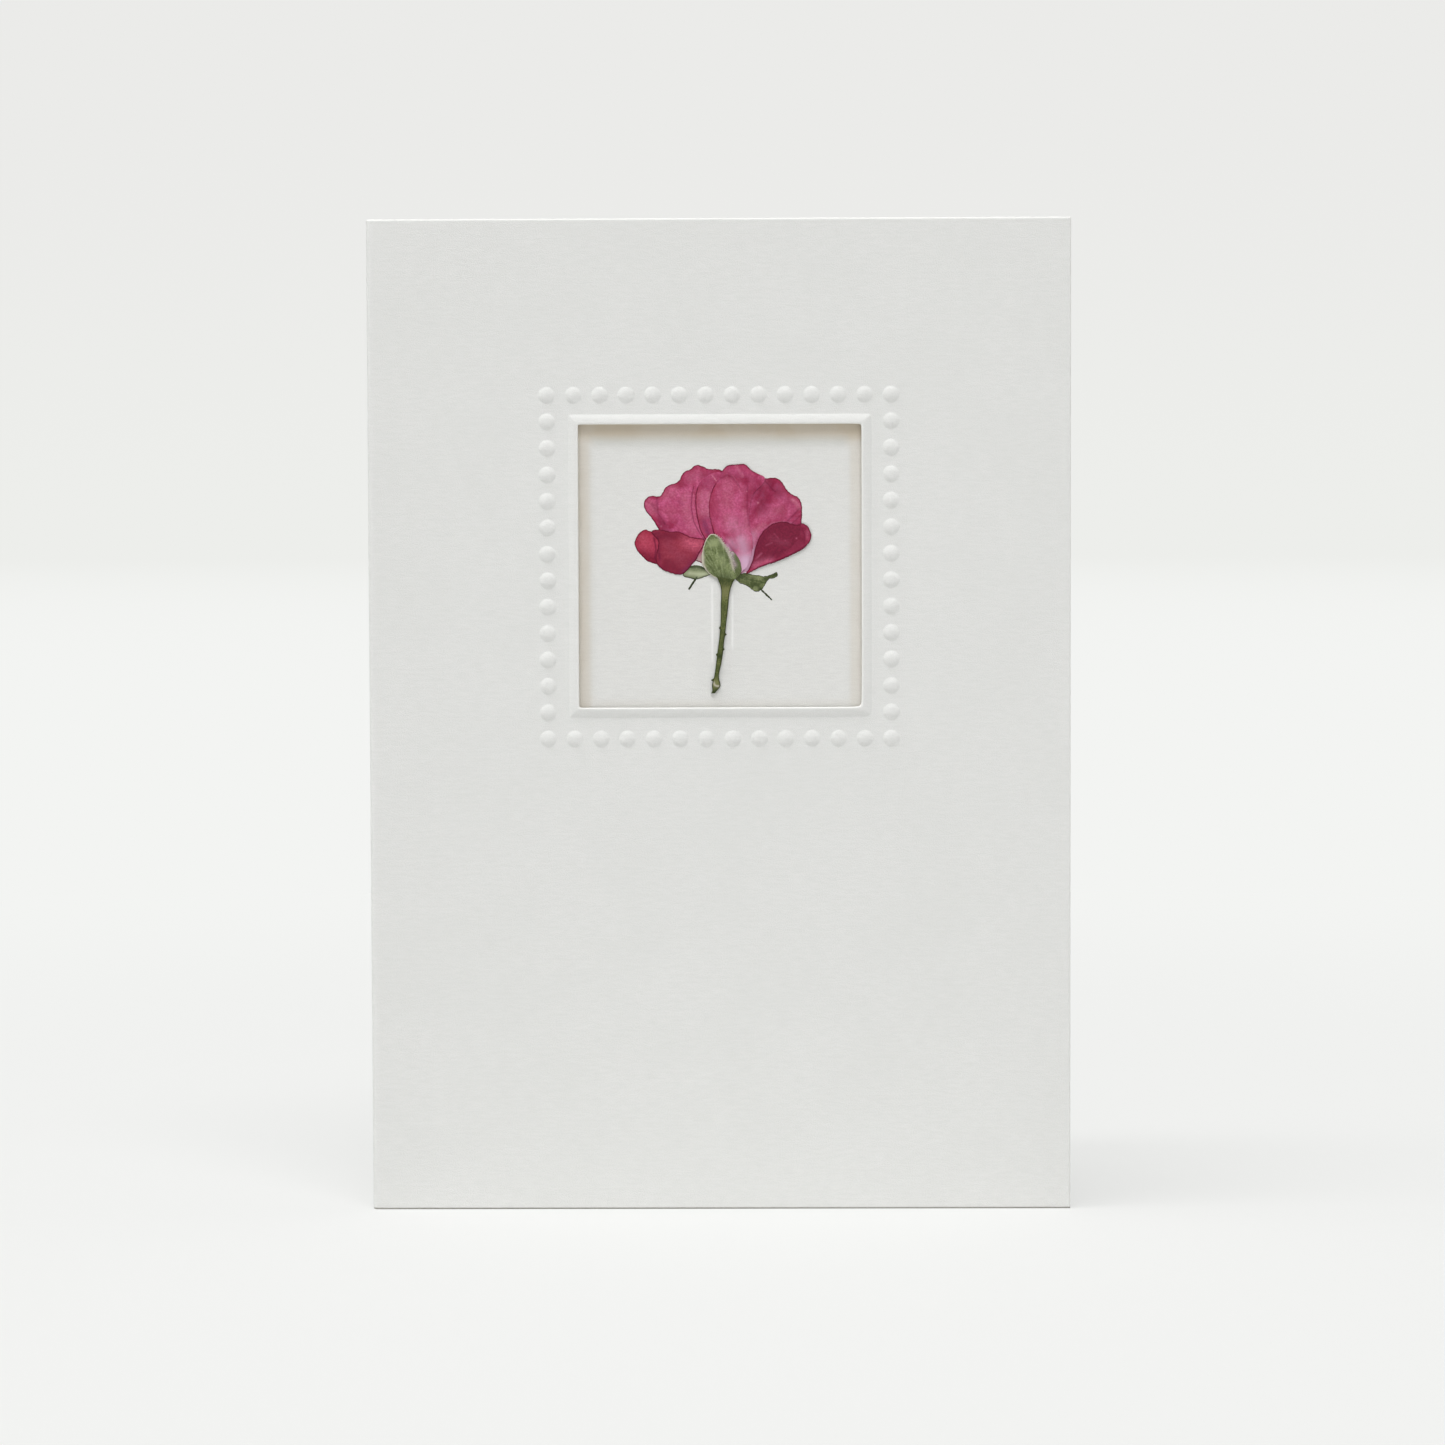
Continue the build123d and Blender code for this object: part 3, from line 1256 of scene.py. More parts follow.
@dataclass
class BackingSheet:
    """The sheet glued behind the window, with two fine raised creases beside the stem."""

    card: FoldedCard
    creases: tuple[tuple[Place, Place], ...] = (
        ((-1.19, -2.3), (-1.17, -14.9)), ((1.82, -3.5), (1.8, -13.0)))
    crease_height: float = 0.03
    crease_width: float = 0.15
    crease_end: float = 1.2
    crease_pitch: float = 0.25
    crease_offsets: tuple[float, ...] = (-0.4, -0.25, -0.16, -0.08, 0, 0.08, 0.16, 0.25, 0.4)
    insets: tuple[float, ...] = (0.0, 0.1, 0.2)
    rim_pitch: float = 2.0
    inner_pitch: float = 0.7
    inner_clearance: float = 0.3
    outer_pitch: float = 3.0
    outer_clearance: float = 1.0
    wave_height: float = 0.012
    wave_length: float = 16.0
    wave_seed: int = 4
    wave_fade: Pair = (0.0, 1.0)
    # Where the painted shade in the recess turns from warm to grey, in millimetres from the window's edge.
    warmth: Pair = (1.2, 3.0)
    pattern_shift: float = 40.0
    # Painted shade under the window's lip: strength, start and end for the top, left, right and bottom edges.
    shade_bands: tuple[tuple[float, float, float], ...] = (
        (0.95, 1.2, 4.2), (0.58, 0.9, 2.6), (0.34, 1.1, 2.4), (0.12, 0.7, 1.6))

    def toned(self, points: np.ndarray) -> np.ndarray:
        """How strongly shade is painted on the paper beside the window's top, left, right and bottom edges.

        Args:
            points: The places on the sheet.

        Returns:
            A share from 0 to 1 for each point.
        """
        across, up = (points - self.card.window_middle).T
        reach = self.card.window / 2
        total = np.zeros(len(points))
        gaps = (reach - up, across + reach, reach - across, up + reach)
        for gap, (share, start, end) in zip(gaps, self.shade_bands):
            total = np.maximum(total, share * (1 - fade(gap, start, end)))
        return np.where(self.card.from_window(*points.T) < 2 * self.card.sheet, total, 0)

    def build(self, finish: bpy.types.Material) -> bpy.types.Object:
        """Makes the sheet.

        Args:
            finish: Its material.

        Returns:
            The object.
        """
        low, high = (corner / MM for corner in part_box("backing_sheet"))
        mx, mz = self.card.window_middle
        layout = Layout()
        for inset in self.insets:
            corners = [(low.x + inset, low.z + inset), (high.x - inset, high.z - inset)]
            layout.line(rectangle(*corners, self.rim_pitch), closed=True)
        lines = [np.array(crease) + (mx, mz) for crease in self.creases]
        for line in lines:
            for offset in self.crease_offsets:
                layout.line(evenly(line + (offset, 0), self.crease_pitch))
        reach = self.card.window / 2
        layout.fill(
            (mx - reach, mz - reach), (mx + reach, mz + reach), self.inner_pitch, self.inner_clearance)
        gap = self.outer_clearance
        layout.fill((low.x + gap, low.z + gap), (high.x - gap, high.z - gap), self.outer_pitch, gap)
        patch = layout.join()
        crease = np.zeros(len(patch.points))
        for line in lines:
            ends = np.minimum(*(np.hypot(*(patch.points - end).T) for end in line))
            fold = bell(distance_to(patch.points, line), self.crease_width) * fade(ends, 0, self.crease_end)
            crease = np.maximum(crease, fold)
        from_edge = -self.card.from_window(*patch.points.T)
        waves = self.wave_height * wrinkles(patch.points, self.wave_length, self.wave_seed)
        height = (waves + self.crease_height * crease) * fade(from_edge, *self.wave_fade)
        x, z = patch.points.T
        faces = [np.stack([x, low.y - height, z], 1), np.stack([x, np.full(len(x), high.y), z], 1)]
        piece = make_piece("backing_paper", np.vstack(faces), shell(patch))
        # The painted shade in the recess and its warmth go to the material.
        note(piece, sheet=np.stack([x, z, np.full(len(x), self.pattern_shift)], 1),
             toned=self.toned(patch.points), warmth=1 - fade(from_edge, *self.warmth), crease=crease)
        dress(piece, finish, "backing_paper", "backing_sheet")
        return piece


# The flower


class Mark(Enum):
    """What a stroke leaves on a petal or a sepal, named as its attribute."""

    FOLD = "fold"
    LIGHT = "light"
    PALE = "pale"
    PLUM = "plum"
    WINE = "wine"
    SOFT = "soft"


@dataclass(frozen=True)
class Stroke:
    """A soft line or spot on a petal, in millimetres from where the stem meets the petals."""

    mark: Mark
    path: list[Place]
    width: float
    strength: float


def strokes(mark: Mark, *rows: tuple) -> tuple[Stroke, ...]:
    """Several strokes that leave the same mark.

    Args:
        mark: What they leave.
        rows: The width and the strength of each, and then its places.

    Returns:
        The strokes.
    """
    return tuple(Stroke(mark, places, width, strength) for width, strength, *places in rows)


@dataclass
class Blade:
    """A pressed petal or sepal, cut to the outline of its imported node."""

    node: str
    base: Place
    strokes: tuple[Stroke, ...] = ()
    over: tuple[str, ...] = ()
    over_strength: float = 0.0
    slot: str = "petal"
    over_fade: Pair = (-0.1, 0.15)
    pitch: float = 0.09
    row_share: float = 0.866
    rim_share: float = 0.9
    clearance: float = 0.6
    ragged: float = 0.09
    spread: float = 0.085
    nibbles: tuple[Pair, Pair] = ((0.9, 0.7), (0.4, 0.5))
    nibble_seed: int = 3
    waves: float = 0.02
    wave_length: float = 1.5
    wave_fade: Pair = (0.0, 0.5)
    wave_seed: int = 7
    ridge: float = 0.02
    round_off: Pair = (0.16, 0.9)
    least_edge: float = 0.02
    least_rise: float = 0.05
    pattern_shift: float = 5.0

    def patch(self, loop: np.ndarray) -> Patch:
        """Fills the outline with a fine mesh.

        Args:
            loop: The outline, one point a row.

        Returns:
            The patch.
        """
        layout = Layout()
        layout.line(loop, closed=True)
        low, high = loop.min(0), loop.max(0)
        rise = self.pitch * self.row_share
        grid = []
        for row in range(int((high[1] - low[1]) / rise) + 1):
            xs = np.arange(low[0] + self.pitch / 2 * (row % 2), high[0], self.pitch)
            grid.append(np.stack([xs, np.full(len(xs), low[1] + row * rise)], 1))
        grid = np.vstack(grid)
        grid = grid[inside(grid, loop)]
        grid = grid[distance_to(grid, loop, closed=True) > self.clearance * self.pitch]
        layout.scatter(grid)
        patch = layout.join()
        return within(patch, inside(middles(patch), loop))

    def cut(self, frame: dict) -> np.ndarray:
        """The node's outline, spread a little and ragged.

        Args:
            frame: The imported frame.

        Returns:
            The outline, one point a row.
        """
        loop = evenly(outline_of(frame["nodes"][self.node]), self.pitch * self.rim_share, closed=True)
        ahead, behind = np.roll(loop, -1, axis=0), np.roll(loop, 1, axis=0)
        side = (ahead - behind)[:, ::-1] * (-1, 1)
        side /= np.hypot(*side.T)[:, None]
        (long, most), (short, some) = self.nibbles
        uneven = most * wrinkles(loop, long, len(self.node)) + some * wrinkles(loop, short, self.nibble_seed)
        step = self.ragged * (0.5 + 0.5 * np.clip(uneven, -1, 1)) - self.spread
        return loop + side * step[:, None]

    def build(self, frame: dict, joint: Place, surface: float, press: float,
              finish: bpy.types.Material) -> bpy.types.Object:
        """Makes the piece.

        Args:
            frame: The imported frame.
            joint: Where the stem meets the petals, as X and Z.
            surface: The Y of the sheet that the flower is pressed on.
            press: How flat the flower is pressed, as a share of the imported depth.
            finish: Its material.

        Returns:
            The object.
        """
        loop = self.cut(frame)
        patch = self.patch(loop)
        points = patch.points
        own = points - joint
        edge = distance_to(points, loop, closed=True)
        marks = {mark: np.zeros(len(points)) for mark in Mark}
        for stroke in self.strokes:
            mask = stroke.strength * bell(distance_to(own, np.array(stroke.path)), stroke.width)
            marks[stroke.mark] = np.maximum(marks[stroke.mark], mask)
        for name in self.over:
            other = outline_of(frame["nodes"][name])
            deep = np.where(inside(points, other), 1, -1) * distance_to(points, other, closed=True)
            dark = self.over_strength * fade(deep, *self.over_fade)
            marks[Mark.WINE] = np.maximum(marks[Mark.WINE], dark)
        low, high = (corner.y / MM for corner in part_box(self.node))
        hard_run, soft_run = self.round_off
        run_out = hard_run + soft_run * marks[Mark.SOFT]
        fall = (high - low - self.least_edge) * (1 - np.clip(edge / run_out, 0, 1)) ** 2
        waves = self.waves * wrinkles(points, self.wave_length, len(self.node) + self.wave_seed)
        front = low + fall - (waves + self.ridge * marks[Mark.FOLD]) * fade(edge, *self.wave_fade)
        x, z = points.T
        depths = surface + press * (np.concatenate([front, np.full(len(x), high)]) - surface)
        both = np.stack([np.tile(x, 2), depths, np.tile(z, 2)], 1)
        piece = make_piece(self.node + "_skin", both, shell(patch), 2 * len(patch.rim()))
        from_base = own - self.base
        bearing = np.arctan2(from_base[:, 0], np.maximum(from_base[:, 1], self.least_rise))
        fan = np.stack([bearing, np.hypot(*from_base.T), np.zeros(len(x))], 1)
        flat = np.stack([x, z, np.full(len(x), self.pattern_shift * len(self.node))], 1)
        shown = {mark.value: values for mark, values in marks.items()}
        note(piece, fan=fan, flat=flat, edge=edge, **shown)
        dress(piece, finish, self.slot, self.node)
        return piece


@dataclass
class Stem:
    """The flattened stem, with fibres, small prickles and a pale scar near its foot."""

    node: str = "stem"
    rings: int = 240
    around: int = 30
    prickles: tuple[tuple[float, int, float], ...] = (
        (-7.4, -1, 0.22), (-8.4, 1, 0.26), (-10.6, 1, 0.2), (-11.4, -1, 0.2), (-15.2, -1, 0.35))
    scar: tuple[Place, ...] = ((-1.93, -15.45), (-1.72, -15.95), (-1.4, -16.1), (-1.04, -16.1))
    scar_width: float = 0.13
    thinnest: float = 0.03
    round_from: float = 0.35
    fibres: int = 9
    fibre_depth: float = 0.03
    fibre_twist: float = 0.7
    fibre_waver: float = 2.3
    fibre_shares: Pair = (0.6, 0.4)
    fibre_run: float = 0.5
    fibre_spread: float = 3.0
    prickle_width: float = 0.16
    prickle_point: int = 6
    cap_edge: float = 0.3
    end_gap: float = 0.01
    swelling: Pair = (-1.7, -0.6)
    neck: Pair = (-3.5, -2.4)
    foot: Pair = (-17.0, -16.3)
    knot: Pair = (-15.6, 0.7)
    scratch: Pair = (-11.6, 0.35)
    end_dark: float = 0.75
    swollen_dark: float = 0.35
    darkest: float = 0.9
    neck_light: float = 0.45
    knot_light: float = 0.5
    scar_pale: float = 0.85

    def sides(self, loop: np.ndarray, levels: np.ndarray) -> tuple[np.ndarray, np.ndarray]:
        """Finds the outline's left and right sides.

        Args:
            loop: The outline, one point a row.
            levels: The heights to look at.

        Returns:
            The lowest and the highest X at each height.
        """
        ahead = np.roll(loop, -1, axis=0)
        left, right = [], []
        for level in levels:
            cut = (loop[:, 1] - level) * (ahead[:, 1] - level) < 0
            start, end = loop[cut], ahead[cut]
            share = (level - start[:, 1]) / (end[:, 1] - start[:, 1])
            xs = start[:, 0] + share * (end[:, 0] - start[:, 0])
            left.append(xs.min())
            right.append(xs.max())
        return np.array(left), np.array(right)

    def build(self, frame: dict, joint: Place, finish: bpy.types.Material) -> bpy.types.Object:
        """Makes the stem.

        Args:
            frame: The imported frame.
            joint: Where the stem meets the petals, as X and Z.
            finish: Its material.

        Returns:
            The object.
        """
        loop = outline_of(frame["nodes"][self.node])
        low, high = (corner.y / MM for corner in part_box(self.node))
        levels = np.linspace(loop[:, 1].min() + self.end_gap, loop[:, 1].max() - self.end_gap, self.rings)
        left, right = self.sides(loop, levels)
        middle, half = (left + right)[:, None] / 2, np.maximum((right - left)[:, None] / 2, self.thinnest)
        turns = np.linspace(0, 2 * math.pi, self.around, endpoint=False)
        across, out = np.cos(turns), np.sin(turns)
        up = (levels - joint[1])[:, None]
        steady, uneven = self.fibre_shares
        wavering = steady + uneven * np.sin(self.fibre_waver * up)
        fibre = self.fibre_depth * np.sin(self.fibres * turns + self.fibre_twist * up) * wavering
        reach = half * (1 + fibre)
        for at, way, size in self.prickles:
            near = bell(up - at, self.prickle_width)
            reach = reach + size * near * np.maximum(across * way, 0) ** self.prickle_point
        depth = (high - low) / 2 * np.sqrt(np.minimum(1, half / self.round_from))
        y = np.clip(high - depth - out * depth * (1 + fibre), low, high)
        x = middle + across * reach
        points = np.stack([x, y, np.broadcast_to(levels[:, None], x.shape)], -1).reshape(-1, 3)
        caps = [points[:self.around].mean(0), points[-self.around:].mean(0)]
        piece = make_piece("stem_skin", np.vstack([points, caps]), self.faces())
        edge = np.append(half * (1 - abs(across)), [self.cap_edge] * 2)
        round_about = np.append(np.broadcast_to(self.fibre_spread * out, x.shape), [0, 0])
        self.mark(piece, np.vstack([points, caps]), edge, round_about, joint)
        dress(piece, finish, "stem", self.node)
        return piece

    def faces(self) -> list[tuple[int, ...]]:
        """The faces of a closed tube of rings.

        Returns:
            The corners of each face. The middle of the first ring and that of the last come last.
        """
        count, last = self.around, (self.rings - 1) * self.around
        pairs = [(k, (k + 1) % count) for k in range(count)]
        faces = [(first + b, first + a, first + a + count, first + b + count)
                 for first in range(0, last, count) for a, b in pairs]
        end = self.rings * count
        faces += [(end, a, b) for a, b in pairs]
        return faces + [(end + 1, last + b, last + a) for a, b in pairs]

    def mark(self, piece: bpy.types.Object, points: np.ndarray, edge: np.ndarray,
             round_about: np.ndarray, joint: Place) -> None:
        """Stores what the stem's material reads.

        Args:
            piece: The stem.
            points: Its vertices in millimetres.
            edge: Each vertex's distance from the stem's side.
            round_about: Where each vertex is round the stem.
            joint: Where the stem meets the petals, as X and Z.
        """
        own = points[:, [0, 2]] - joint
        up = own[:, 1]
        swollen = fade(up, *self.swelling)
        scratch, knot = (bell(up - at, width) for at, width in (self.scratch, self.knot))
        ends = np.maximum(1 - fade(up, *self.foot), scratch)
        scar = bell(distance_to(own, np.array(self.scar)), self.scar_width)
        neck = fade(up, *self.neck) - swollen
        x, z = points[:, 0], points[:, 2]
        note(piece, flat=np.stack([x, z, round_about], 1),
             fan=np.stack([x, self.fibre_run * up, round_about], 1), edge=edge,
             fold=np.clip(self.end_dark * ends + self.swollen_dark * swollen, 0, self.darkest),
             light=self.neck_light * neck + self.knot_light * knot,
             pale=self.scar_pale * scar, soft=np.zeros(len(up)))


@dataclass(frozen=True)
class Tuft:
    """A row of fine hairs along a line, in millimetres from where the stem meets the petals."""

    path: tuple[Place, ...]
    count: int
    lean: float
    spread: float
    length: Pair


@dataclass
class Hairs:
    """Fine dry hairs, all in one mesh."""

    name: str
    tufts: tuple[Tuft, ...]
    thickness: float
    depth: float
    slot: str
    steps: int = 5
    seed: int = 11
    root_pitch: float = 0.02
    curl: float = 0.5
    taper: float = 0.75
    heights: Pair = (0.1, 1.0)

    def build(self, joint: Place, surface: float, finish: bpy.types.Material) -> bpy.types.Object:
        """Makes the hairs.

        Args:
            joint: Where the stem meets the petals, as X and Z.
            surface: The Y of the surface that they lie on.
            finish: Their material.

        Returns:
            The object.
        """
        dice = np.random.default_rng(self.seed)
        points, faces, along = [], [], []
        for tuft in self.tufts:
            roots = evenly(np.array(tuft.path), self.root_pitch)
            for _ in range(tuft.count):
                root = roots[dice.integers(len(roots))] + joint
                turn = math.radians(tuft.lean + dice.normal(0, tuft.spread))
                length, curl = dice.uniform(*tuft.length), dice.normal(0, self.curl)
                height = surface - self.depth * dice.uniform(*self.heights)
                first = len(points)
                place = np.array(root, float)
                for step in range(self.steps + 1):
                    share = step / self.steps
                    heading = turn + curl * share
                    across = np.array([-math.sin(heading), math.cos(heading)])
                    half = self.thickness / 2 * (1 - self.taper * share)
                    left, right = place - across * half, place + across * half
                    points += [(left[0], height, left[1]), (right[0], height, right[1])]
                    points.append((place[0], height - half, place[1]))
                    along += [share] * 3
                    place = place + np.array([math.cos(heading), math.sin(heading)]) * length / self.steps
                for step in range(self.steps):
                    a = first + 3 * step
                    for k in range(3):
                        b = (k + 1) % 3
                        faces.append((a + k, a + b, a + 3 + b, a + 3 + k))
        points = np.array(points)
        piece = make_piece(self.name, points, faces)
        note(piece, along=np.array(along), flat=points[:, [0, 2, 1]])
        dress(piece, finish, self.slot)
        return piece


PETALS = (
    (Blade("back_left_petal", (0.5, 0.5), (
        *strokes(Mark.FOLD,
            (0.08, 0.7, (-4.76, 13.7), (-5.0, 12.8), (-5.16, 10.7), (-4.8, 8.5), (-4.04, 7.0), (-3.3, 5.9)),
            (0.18, 0.45, (-10.3, 12.0), (-10.15, 9.8), (-9.1, 8.1)),
            (0.3, 0.3, (-10.9, 11.1), (-10.1, 9.7), (-9.5, 7.5)),
            (0.3, 0.45, (-9.8, 7.3), (-8.5, 6.9), (-7.4, 6.7), (-6.0, 6.2)),
            (0.3, 0.3, (-7.0, 11.5), (-6.5, 11.1))),
        *strokes(Mark.LIGHT,
            (0.14, 0.45, (-4.82, 12.6), (-4.85, 10.5), (-4.5, 8.9)),
            (0.9, 0.5, (-6.0, 12.4), (-5.9, 9.8), (-4.7, 7.4)),
            (0.28, 0.95, (-11.8, 11.14)),
            (0.8, 0.4, (-11.4, 11.0), (-10.9, 10.2)),
            (0.14, 0.85, (-9.66, 7.82)),
            (1.0, 0.25, (-8.5, 10.4), (-7.8, 9.8)),
            (1.0, 0.4, (-8.9, 12.4), (-7.9, 12.9)),
            (0.7, 0.4, (-5.4, 7.9), (-4.9, 7.0)),
            (0.9, 0.35, (-4.4, 15.4), (-5.2, 15.0))),
        *strokes(Mark.PALE,
            (0.8, 0.95, (-3.5, 2.9), (-4.5, 2.4))),
        *strokes(Mark.WINE,
            (0.9, 0.2, (-7.6, 8.6), (-6.4, 8.4)),
            (0.7, 0.6, (-9.5, 8.2), (-8.8, 7.6)),
            (0.6, 0.3, (-6.8, 14.1), (-5.6, 14.6), (-4.8, 15.4)),
            (0.6, 0.4, (-3.4, 15.4), (-2.0, 15.4), (-0.9, 15.6))),
    )), PetalSkin("petal_back_left", pale=ink(190, 166, 162))),
    (Blade("back_right_petal", (1.8, 0.6), (
        *strokes(Mark.FOLD,
            (0.12, 0.55, (5.9, 14.5), (6.6, 13.7), (7.4, 12.9)),
            (0.14, 0.5, (9.2, 8.5), (10.2, 9.5), (11.0, 10.4)),
            (0.12, 0.4, (9.8, 8.1), (10.7, 8.9), (11.3, 9.5))),
        *strokes(Mark.LIGHT,
            (0.16, 1.0, (4.81, 11.26)),
            (0.3, 0.75, (10.0, 11.7), (10.6, 11.2), (10.9, 10.5)),
            (0.14, 0.5, (5.1, 6.9), (6.0, 7.7), (7.2, 8.3), (8.6, 8.45), (9.7, 8.2)),
            (0.9, 0.28, (5.6, 9.2), (6.8, 9.6), (8.2, 10.2)),
            (0.55, 0.55, (4.8, 7.1), (5.6, 8.0)),
            (0.6, 0.35, (3.2, 16.0), (4.9, 15.0), (5.4, 14.4))),
        *strokes(Mark.PALE,
            (1.0, 0.75, (3.0, 0.9), (3.4, 2.6), (3.7, 4.2)),
            (0.8, 0.3, (3.8, 4.8), (4.1, 6.4))),
        *strokes(Mark.WINE,
            (1.4, 0.66, (4.6, 13.8), (5.6, 12.4), (5.3, 10.4)),
            (1.1, 0.68, (6.4, 14.2), (8.0, 12.8)),
            (1.2, 0.2, (6.6, 9.4), (8.2, 9.8)),
            (0.8, 0.28, (8.6, 12.2), (10.0, 10.8), (10.8, 8.8)),
            (0.6, 0.4, (6.4, 13.9), (7.6, 13.2))),
        *strokes(Mark.SOFT,
            (1.4, 1.0, (4.4, 15.2), (3.6, 12.0), (3.4, 8.0), (3.6, 4.0), (2.8, 1.0))),
    )), PetalSkin("petal_back_right")),
    (Blade("outer_left_petal", (-9.0, 2.0), (
        *strokes(Mark.FOLD,
            (0.14, 0.8, (-10.74, 6.1), (-10.44, 4.5), (-10.64, 3.0))),
        *strokes(Mark.LIGHT,
            (0.8, 0.5, (-12.4, 6.1), (-11.9, 5.2))),
        *strokes(Mark.WINE,
            (1.0, 0.78, (-12.4, 3.5), (-11.4, 3.1), (-10.7, 2.5))),
    )), PetalSkin(
        "petal_outer_left", body=ink(200, 73, 102), blush=ink(162, 45, 72),
        light=ink(222, 104, 126), rim=ink(166, 44, 66),
    )),
    (Blade("back_middle_petal", (0.3, 1.0), (
        *strokes(Mark.LIGHT,
            (0.1, 1.0, (-2.07, 15.4), (-1.22, 14.39)),
            (0.9, 0.55, (-3.3, 12.4), (-3.3, 10.0)),
            (0.5, 0.7, (-2.6, 12.6), (-2.6, 9.6))),
        *strokes(Mark.PLUM,
            (0.4, 0.75, (-3.2, 8.4), (-2.9, 7.4), (-2.5, 6.4)),
            (0.3, 0.4, (-2.6, 9.6), (-2.4, 8.4))),
        *strokes(Mark.WINE,
            (0.9, 0.3, (-3.4, 14.0), (-2.2, 14.6)),
            (0.8, 0.35, (-3.4, 9.0), (-2.8, 7.6))),
        *strokes(Mark.SOFT,
            (0.7, 1.0, (-4.0, 14.4), (-2.8, 15.3), (-1.2, 15.9), (0.2, 15.3))),
    )), PetalSkin("petal_back_middle", body=ink(208, 99, 144), blush=ink(174, 62, 104))),
    (Blade("front_left_petal", (-3.4, 3.6), (
        *strokes(Mark.FOLD,
            (0.2, 0.6, (-10.2, 6.3), (-10.2, 5.5), (-10.1, 4.4), (-9.9, 3.0)),
            (0.25, 0.6, (-11.9, 6.8), (-10.9, 6.6), (-10.0, 6.8))),
        *strokes(Mark.LIGHT,
            (1.0, 1.0, (-5.8, 5.3), (-4.8, 5.0), (-3.8, 5.0)),
            (1.2, 0.25, (-8.6, 5.0), (-6.6, 3.2))),
        *strokes(Mark.PLUM,
            (0.5, 0.75, (-3.4, 4.3), (-4.3, 3.0), (-5.3, 1.8), (-6.3, 0.8))),
        *strokes(Mark.WINE,
            (0.6, 0.65, (-9.7, 6.2), (-8.9, 6.4), (-7.6, 6.3)),
            (0.7, 0.35, (-6.5, 2.7), (-5.7, 2.2)),
            (0.8, 0.6, (-8.9, 1.8), (-7.2, 1.2), (-6.2, 1.3)),
            (0.5, 0.3, (-9.9, 4.9), (-9.6, 3.2))),
    )), PetalSkin(
        "petal_front_left", body=ink(164, 59, 77), blush=ink(126, 37, 55),
        light=ink(224, 106, 134), rim=ink(142, 38, 62),
    )),
    (Blade("centre_petal", (2.2, 0.2), (
        *strokes(Mark.FOLD,
            (0.1, 0.35, (3.3, 13.9), (3.2, 10.7), (3.4, 7.8)),
            (0.35, 0.12, (-2.1, 12.6), (-2.2, 10.4), (-1.8, 7.9)),
            (0.14, 0.38, (-1.5, 14.1), (-0.8, 14.9), (0.2, 15.4), (1.0, 15.1), (1.7, 14.3), (2.1, 13.6))),
        *strokes(Mark.LIGHT,
            (0.25, 0.5, (1.5, 16.8), (2.0, 16.1), (2.5, 15.3)),
            (1.5, 0.35, (0.4, 13.6), (0.2, 11.0)),
            (0.1, 0.4, (1.0, 15.4), (1.8, 14.2), (2.2, 12.7)),
            (0.1, 0.35, (0.8, 14.7), (1.9, 13.5)),
            (1.0, 0.4, (0.3, 9.4), (0.6, 8.2)),
            (0.5, 0.2, (2.6, 13.6), (2.7, 11.0)),
            (0.5, 0.5, (2.7, 10.0), (3.0, 8.8), (3.3, 6.4)),
            (0.13, 0.8, (3.16, 12.98)),
            (0.9, 0.5, (3.4, 5.8), (3.0, 7.4))),
        *strokes(Mark.PALE,
            (1.5, 0.95, (2.9, 0.6), (2.9, 2.6)),
            (0.8, 0.35, (0.8, 5.4), (1.6, 4.8)),
            (0.3, 0.6, (0.2, 4.9), (0.8, 3.8), (1.2, 2.8)),
            (1.0, 0.55, (2.8, 3.4), (2.6, 4.6), (2.3, 5.6)),
            (1.2, 0.16, (2.4, 5.4), (1.9, 6.9), (1.2, 8.0))),
        *strokes(Mark.PLUM,
            (0.3, 0.85, (-0.2, 5.6), (0.4, 4.9), (1.0, 4.0), (1.4, 3.2)),
            (0.2, 0.4, (0.9, 5.4), (1.5, 4.5))),
        *strokes(Mark.WINE,
            (0.5, 0.28, (3.1, 14.4), (3.2, 11.0), (3.0, 8.0)),
            (0.8, 0.36, (-0.6, 15.4), (0.6, 15.6), (2.4, 15.2), (4.2, 14.4)),
            (0.8, 0.35, (4.6, 14.2), (4.1, 12.4), (3.9, 10.4))),
        *strokes(Mark.SOFT,
            (0.5, 0.32, (-2.2, 12.4), (-2.3, 10.6), (-1.9, 8.2)),
            (0.45, 1.0, (-1.3, 14.6), (-0.6, 15.5)),
            (1.5, 1.0, (5.2, 14.1), (4.2, 13.0), (3.6, 10.5), (3.6, 8.0), (3.9, 5.0), (3.6, 2.5))),
    )), PetalSkin("petal_centre")),
    (Blade("front_right_petal", (3.6, 0.6), (
        *strokes(Mark.FOLD,
            (0.2, 0.45, (7.5, 4.2), (7.1, 3.5), (6.6, 2.9)),
            (0.18, 0.4, (8.5, 4.4), (8.0, 3.6), (7.6, 3.1)),
            (0.14, 0.5, (11.3, 7.5), (11.8, 6.5), (11.7, 5.1)),
            (0.3, 0.3, (4.9, 4.6), (5.7, 6.3), (7.0, 7.5), (8.4, 7.8)),
            (0.14, 0.75, (12.0, 4.9), (10.05, 3.68), (7.0, 2.38), (4.8, 1.58))),
        *strokes(Mark.LIGHT,
            (0.12, 0.9, (10.55, 5.95)),
            (0.12, 0.5, (8.9, 5.63)),
            (0.5, 0.14, (6.8, 6.0), (8.2, 5.4), (9.2, 5.3)),
            (0.3, 0.4, (12.2, 6.9), (12.2, 6.0)),
            (0.5, 0.7, (4.3, 1.9), (5.2, 2.4), (6.6, 2.75)),
            (0.1, 0.3, (7.2, 6.7), (7.9, 5.9)),
            (0.12, 0.28, (6.0, 4.9), (6.9, 5.3)),
            (0.15, 0.5, (4.5, 2.9), (5.3, 3.7))),
        *strokes(Mark.WINE,
            (1.0, 0.75, (10.9, 7.2), (11.3, 5.8), (10.4, 4.6)),
            (0.5, 0.7, (11.4, 7.6), (12.1, 7.0), (12.4, 6.4)),
